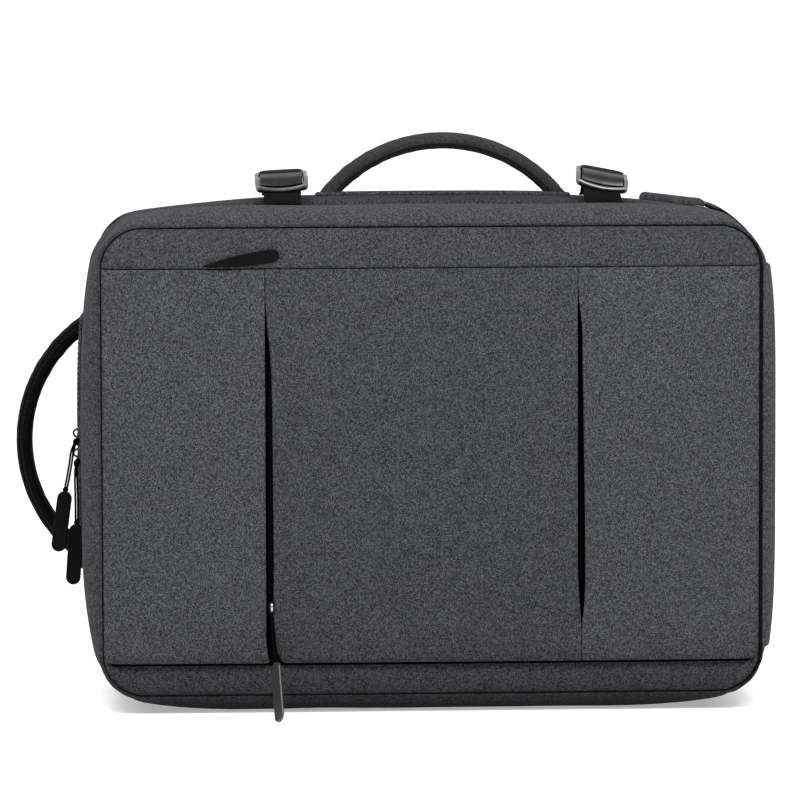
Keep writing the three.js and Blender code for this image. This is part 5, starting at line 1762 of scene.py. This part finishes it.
def strap_edge(half, turn):
    """Middle height line along one edge of a strap."""
    line, wide, thick = strap_points(half)
    _, across = strap_frame(line)
    lift = BACKWARD * STRAP_THICKNESS * thick[:, None] / 2
    return line + lift + across * turn * (STRAP_WIDTH * STRAP_PAD_SHARE * wide[:, None] / 2 - 0.8 * MM)


def binding_shell(half):
    """Woven binding folded over both edges of a strap and round its end: a flat tube."""
    ends = strap_edge(half, -1), strap_edge(half, 1)
    tip = (ends[0][-1] + ends[1][-1]) / 2
    turn = np.linspace(0, 1, 14)[1:-1, None]
    bend = ends[0][-1] + (ends[1][-1] - ends[0][-1]) * turn
    out = unit(tip - (ends[0][-12] + ends[1][-12]) / 2)
    bend = bend + out * np.sin(turn * np.pi) * 2 * MM
    line = smooth_line(np.concatenate([ends[0][::3], bend[::3], ends[1][::-3]]), 260)
    return swept(line, oval(5 * MM, 4.2 * MM, 14, 0.7), BACKWARD)


def yoke_shells():
    """Padded bar of cloth that the straps' upper ends are sewn under, with a row of stitches
    along both edges."""
    half = (STRAP_ROWS[0][1] * HALF_HEIGHT) + 0.75 * STRAP_WIDTH
    z = CENTRE_Z + half * (2 * clustered(60) - 1)
    line = together(STRAP_ROWS[0][0] * HALF_WIDTH, STRAP_Y + YOKE_HEIGHT / 2 - MM, z)
    end = np.clip((1 - np.abs(2 * clustered(60) - 1)) / 0.04, 0, 1) ** 0.5
    section = oval(YOKE_WIDTH, YOKE_HEIGHT, 40, 0.6) * (0.35 + 0.65 * end)[:, None, None]
    bar = swept(line, section, RIGHTWARD)
    rows = []
    for turn in (-1, 1):
        out = np.array([turn * YOKE_WIDTH * 0.3, YOKE_HEIGHT * 0.47, 0])
        rows.append(stitching(line[6:-6] + out, BACKWARD))
    return bar, merged(rows)


def flat_strip(points, width, thickness, face):
    """Webbing along points, its face turned one way."""
    line = smooth_line(points, 80) if len(points) > 2 else np.linspace(points[0], points[1], 60)
    tangent = unit(np.gradient(line, axis=0))
    across = unit(np.cross(face, tangent))
    return swept(line, webbing_section(width, thickness), across)


ADJUSTER_BAR = 4.5 * MM


def adjuster_shell():
    """Moulded strap adjuster: a frame of rounded bars with two slots and a raised lip."""
    width, length, thickness, bar = ADJUSTER_WIDTH, ADJUSTER_LENGTH, ADJUSTER_THICKNESS, ADJUSTER_BAR
    shells = []
    for at, high in ((-length / 2 + bar / 2, 1.15), (0, 0.8), (length / 2 - bar / 2, 1)):
        shells.append(bar_shell(width - 4 * MM, at, 0, rounded_section(bar, thickness * high, 1.2 * MM)))
    share = np.linspace(-1, 1, 31)
    end = round_end(share, 10, 0.2)
    for turn in (-1, 1):
        line = together(turn * (width / 2 - 2 * MM), share * length / 2, 0)
        section = np.stack([rounded_section(4 * MM * e, thickness * e, 1.2 * MM) for e in end])
        shells.append(swept(line, section, RIGHTWARD))
    return merged(shells)


class BACKPACK_OT_back(bpy.types.Operator):
    """Add the padded back with its shoulder straps, adjusters and webbing"""

    bl_idname = "backpack.back"
    bl_label = "Back and shoulder straps"

    def execute(self, context):
        panel = make("back_pad", back_panel_shell(), "mesh", ["back_panel"], 70)
        face = BACKWARD
        yoke, seams = yoke_shells()
        # the yoke takes the darker copy of the cloth, as painted shade
        make("strap_yoke", yoke, "rear_heather", (), 60)
        make("yoke_stitches", seams, "grey_thread")
        for name, half in (("upper", 1), ("lower", -1)):
            strap = make(f"strap_{name}", strap_shell(half), "mesh",
                         [f"shoulder_strap_{name}"], 80)
            puffed(strap, 3.5 * MM, 1.2 * MM)
            make(f"strap_binding_{name}", binding_shell(half), "binding", (), 60)
            line, _, thick = strap_points(half)
            top = line + face * STRAP_THICKNESS * thick[:, None] * 1.04
            inner = top[2:-6]
            make(f"strap_tape_{name}", flat_strip(inner[::6], STRAP_TAPE, 1.2 * MM, face),
                 "webbing", (), 60)
            low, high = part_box(f"strap_adjuster_{name}")
            middle = np.array((low + high) / 2)
            end_x, end_z = WEBBING_END[0] * HALF_WIDTH, CENTRE_Z + half * WEBBING_END[1] * HALF_HEIGHT
            end = np.array([end_x, STRAP_Y, end_z])
            along = unit((end - middle) * np.array([1, 0, 1]))
            side = unit(np.cross(along, face))
            make(f"adjuster_{name}", placed(adjuster_shell(), middle, side, along, face),
                 "plastic", [f"strap_adjuster_{name}"], 50)
            end[1] = STRAP_Y + WEBBING_THICKNESS / 2
            start = middle + along * 2 * MM
            run = np.array([start, start + along * 12 * MM - face * 1.2 * MM, end])
            make(f"webbing_{name}", flat_strip(run, WEBBING_WIDTH, WEBBING_THICKNESS, face),
                 "webbing", [f"strap_webbing_{name}"], 60)
        return {"FINISHED"}


TAB_SEAM, TAB_ROWS = 3 * MM, 2.5 * MM


def ring_shell():
    """Squared ring: two round bars across and two along."""
    wire = oval(RING_WIRE, RING_WIRE, 14, 1.0)
    shells = [bar_shell(RING_WIDTH, turn * 3.6 * MM, 0, wire) for turn in (-1, 1)]
    share = np.linspace(-1, 1, 21)
    for turn in (-1, 1):
        line = together(turn * (RING_WIDTH / 2 - 0.2 * MM), share * RING_LENGTH / 2, 0)
        shells.append(swept(line, wire, RIGHTWARD))
    return merged(shells)


class BACKPACK_OT_anchor(bpy.types.Operator):
    """Add the strap anchor at the top right corner: stitched tab, ring and webbing"""

    bl_idname = "backpack.anchor"
    bl_label = "Strap anchor"

    def execute(self, context):
        sizes = context.scene.backpack_sizes
        low_y, high_y = TAB_Y - TAB_WIDTH / 2, TAB_Y + TAB_WIDTH / 2
        start, end = top_distance(TAB_END), top_distance(TAB_X)
        make("anchor_tab_cloth",
             gusset_patch(sizes, False, start, end, low_y, high_y, GAP, TAB_THICKNESS, (60, 40), 2.2 * MM),
             "tab", ["anchor_tab"], 60)
        rows = []
        across = np.linspace(low_y + TAB_SEAM, high_y - TAB_SEAM, 20)
        for at in (start + TAB_ROWS, start + 2 * TAB_ROWS, end - TAB_SEAM):
            row = np.full_like(across, at)
            rows.append(stitching(*gusset(sizes, False, row, across, GAP + TAB_THICKNESS)))
        make("anchor_stitches", merged(rows), "grey_thread")
        low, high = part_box("anchor_ring")
        middle = np.array((low + high) / 2)
        first, _ = gusset(sizes, False, np.array([start]), np.array([TAB_Y]), TAB_THICKNESS / 2)
        corner = np.array([corner_distance(0.32)])
        last, _ = gusset(sizes, False, corner, np.array([TAB_Y]), TAB_THICKNESS * 0.6)
        along = unit(last[0] - first[0])
        face = np.cross(BACKWARD, along)
        make("anchor_ring_loop", placed(ring_shell(), middle, BACKWARD, along, face),
             "plastic", ["anchor_ring"], 50)
        shares = np.linspace(0.16, 0.86, 30)
        folded = 2.2 * WEBBING_THICKNESS
        line, _ = gusset(sizes, False, corner_distance(shares), np.full_like(shares, TAB_Y), GAP + folded / 2)
        section = webbing_section(thickness=folded)
        make("anchor_strap", swept(line, section, BACKWARD),
             "webbing", ["anchor_webbing"], 60)
        return {"FINISHED"}


OPERATORS = (
    BACKPACK_OT_stage,
    BACKPACK_OT_pulls,
    BACKPACK_OT_gussets,
    BACKPACK_OT_zips,
    BACKPACK_OT_piping,
    BACKPACK_OT_front,
    BACKPACK_OT_handles,
    BACKPACK_OT_compression,
    BACKPACK_OT_top_pull,
    BACKPACK_OT_back,
    BACKPACK_OT_anchor,
)


class BACKPACK_PT_panel(bpy.types.Panel):
    """Lists the backpack's sizes, colours and pieces."""

    bl_idname = "BACKPACK_PT_panel"
    bl_label = "Travel Backpack"
    bl_space_type = "VIEW_3D"
    bl_region_type = "UI"
    bl_category = "Backpack"

    def draw(self, context):
        for group in (context.scene.backpack_sizes, context.scene.backpack_colours):
            for name in group.__annotations__:
                self.layout.prop(group, name)
        for operator in OPERATORS:
            self.layout.operator(operator.bl_idname)


CLASSES = (BackpackSizes, BackpackColours, *OPERATORS, BACKPACK_PT_panel)


def register():
    for each in CLASSES:
        bpy.utils.register_class(each)
    bpy.types.Scene.backpack_sizes = PointerProperty(type=BackpackSizes)
    bpy.types.Scene.backpack_colours = PointerProperty(type=BackpackColours)


def unregister():
    del bpy.types.Scene.backpack_colours
    del bpy.types.Scene.backpack_sizes
    for each in reversed(CLASSES):
        bpy.utils.unregister_class(each)


def corners():
    return [list(corner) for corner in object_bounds()]


def main():
    """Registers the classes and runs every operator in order."""
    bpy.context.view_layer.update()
    register()
    for operator in OPERATORS:
        group, name = operator.bl_idname.split(".")
        getattr(getattr(bpy.ops, group), name)()
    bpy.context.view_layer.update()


if __name__ == "__main__":
    main()
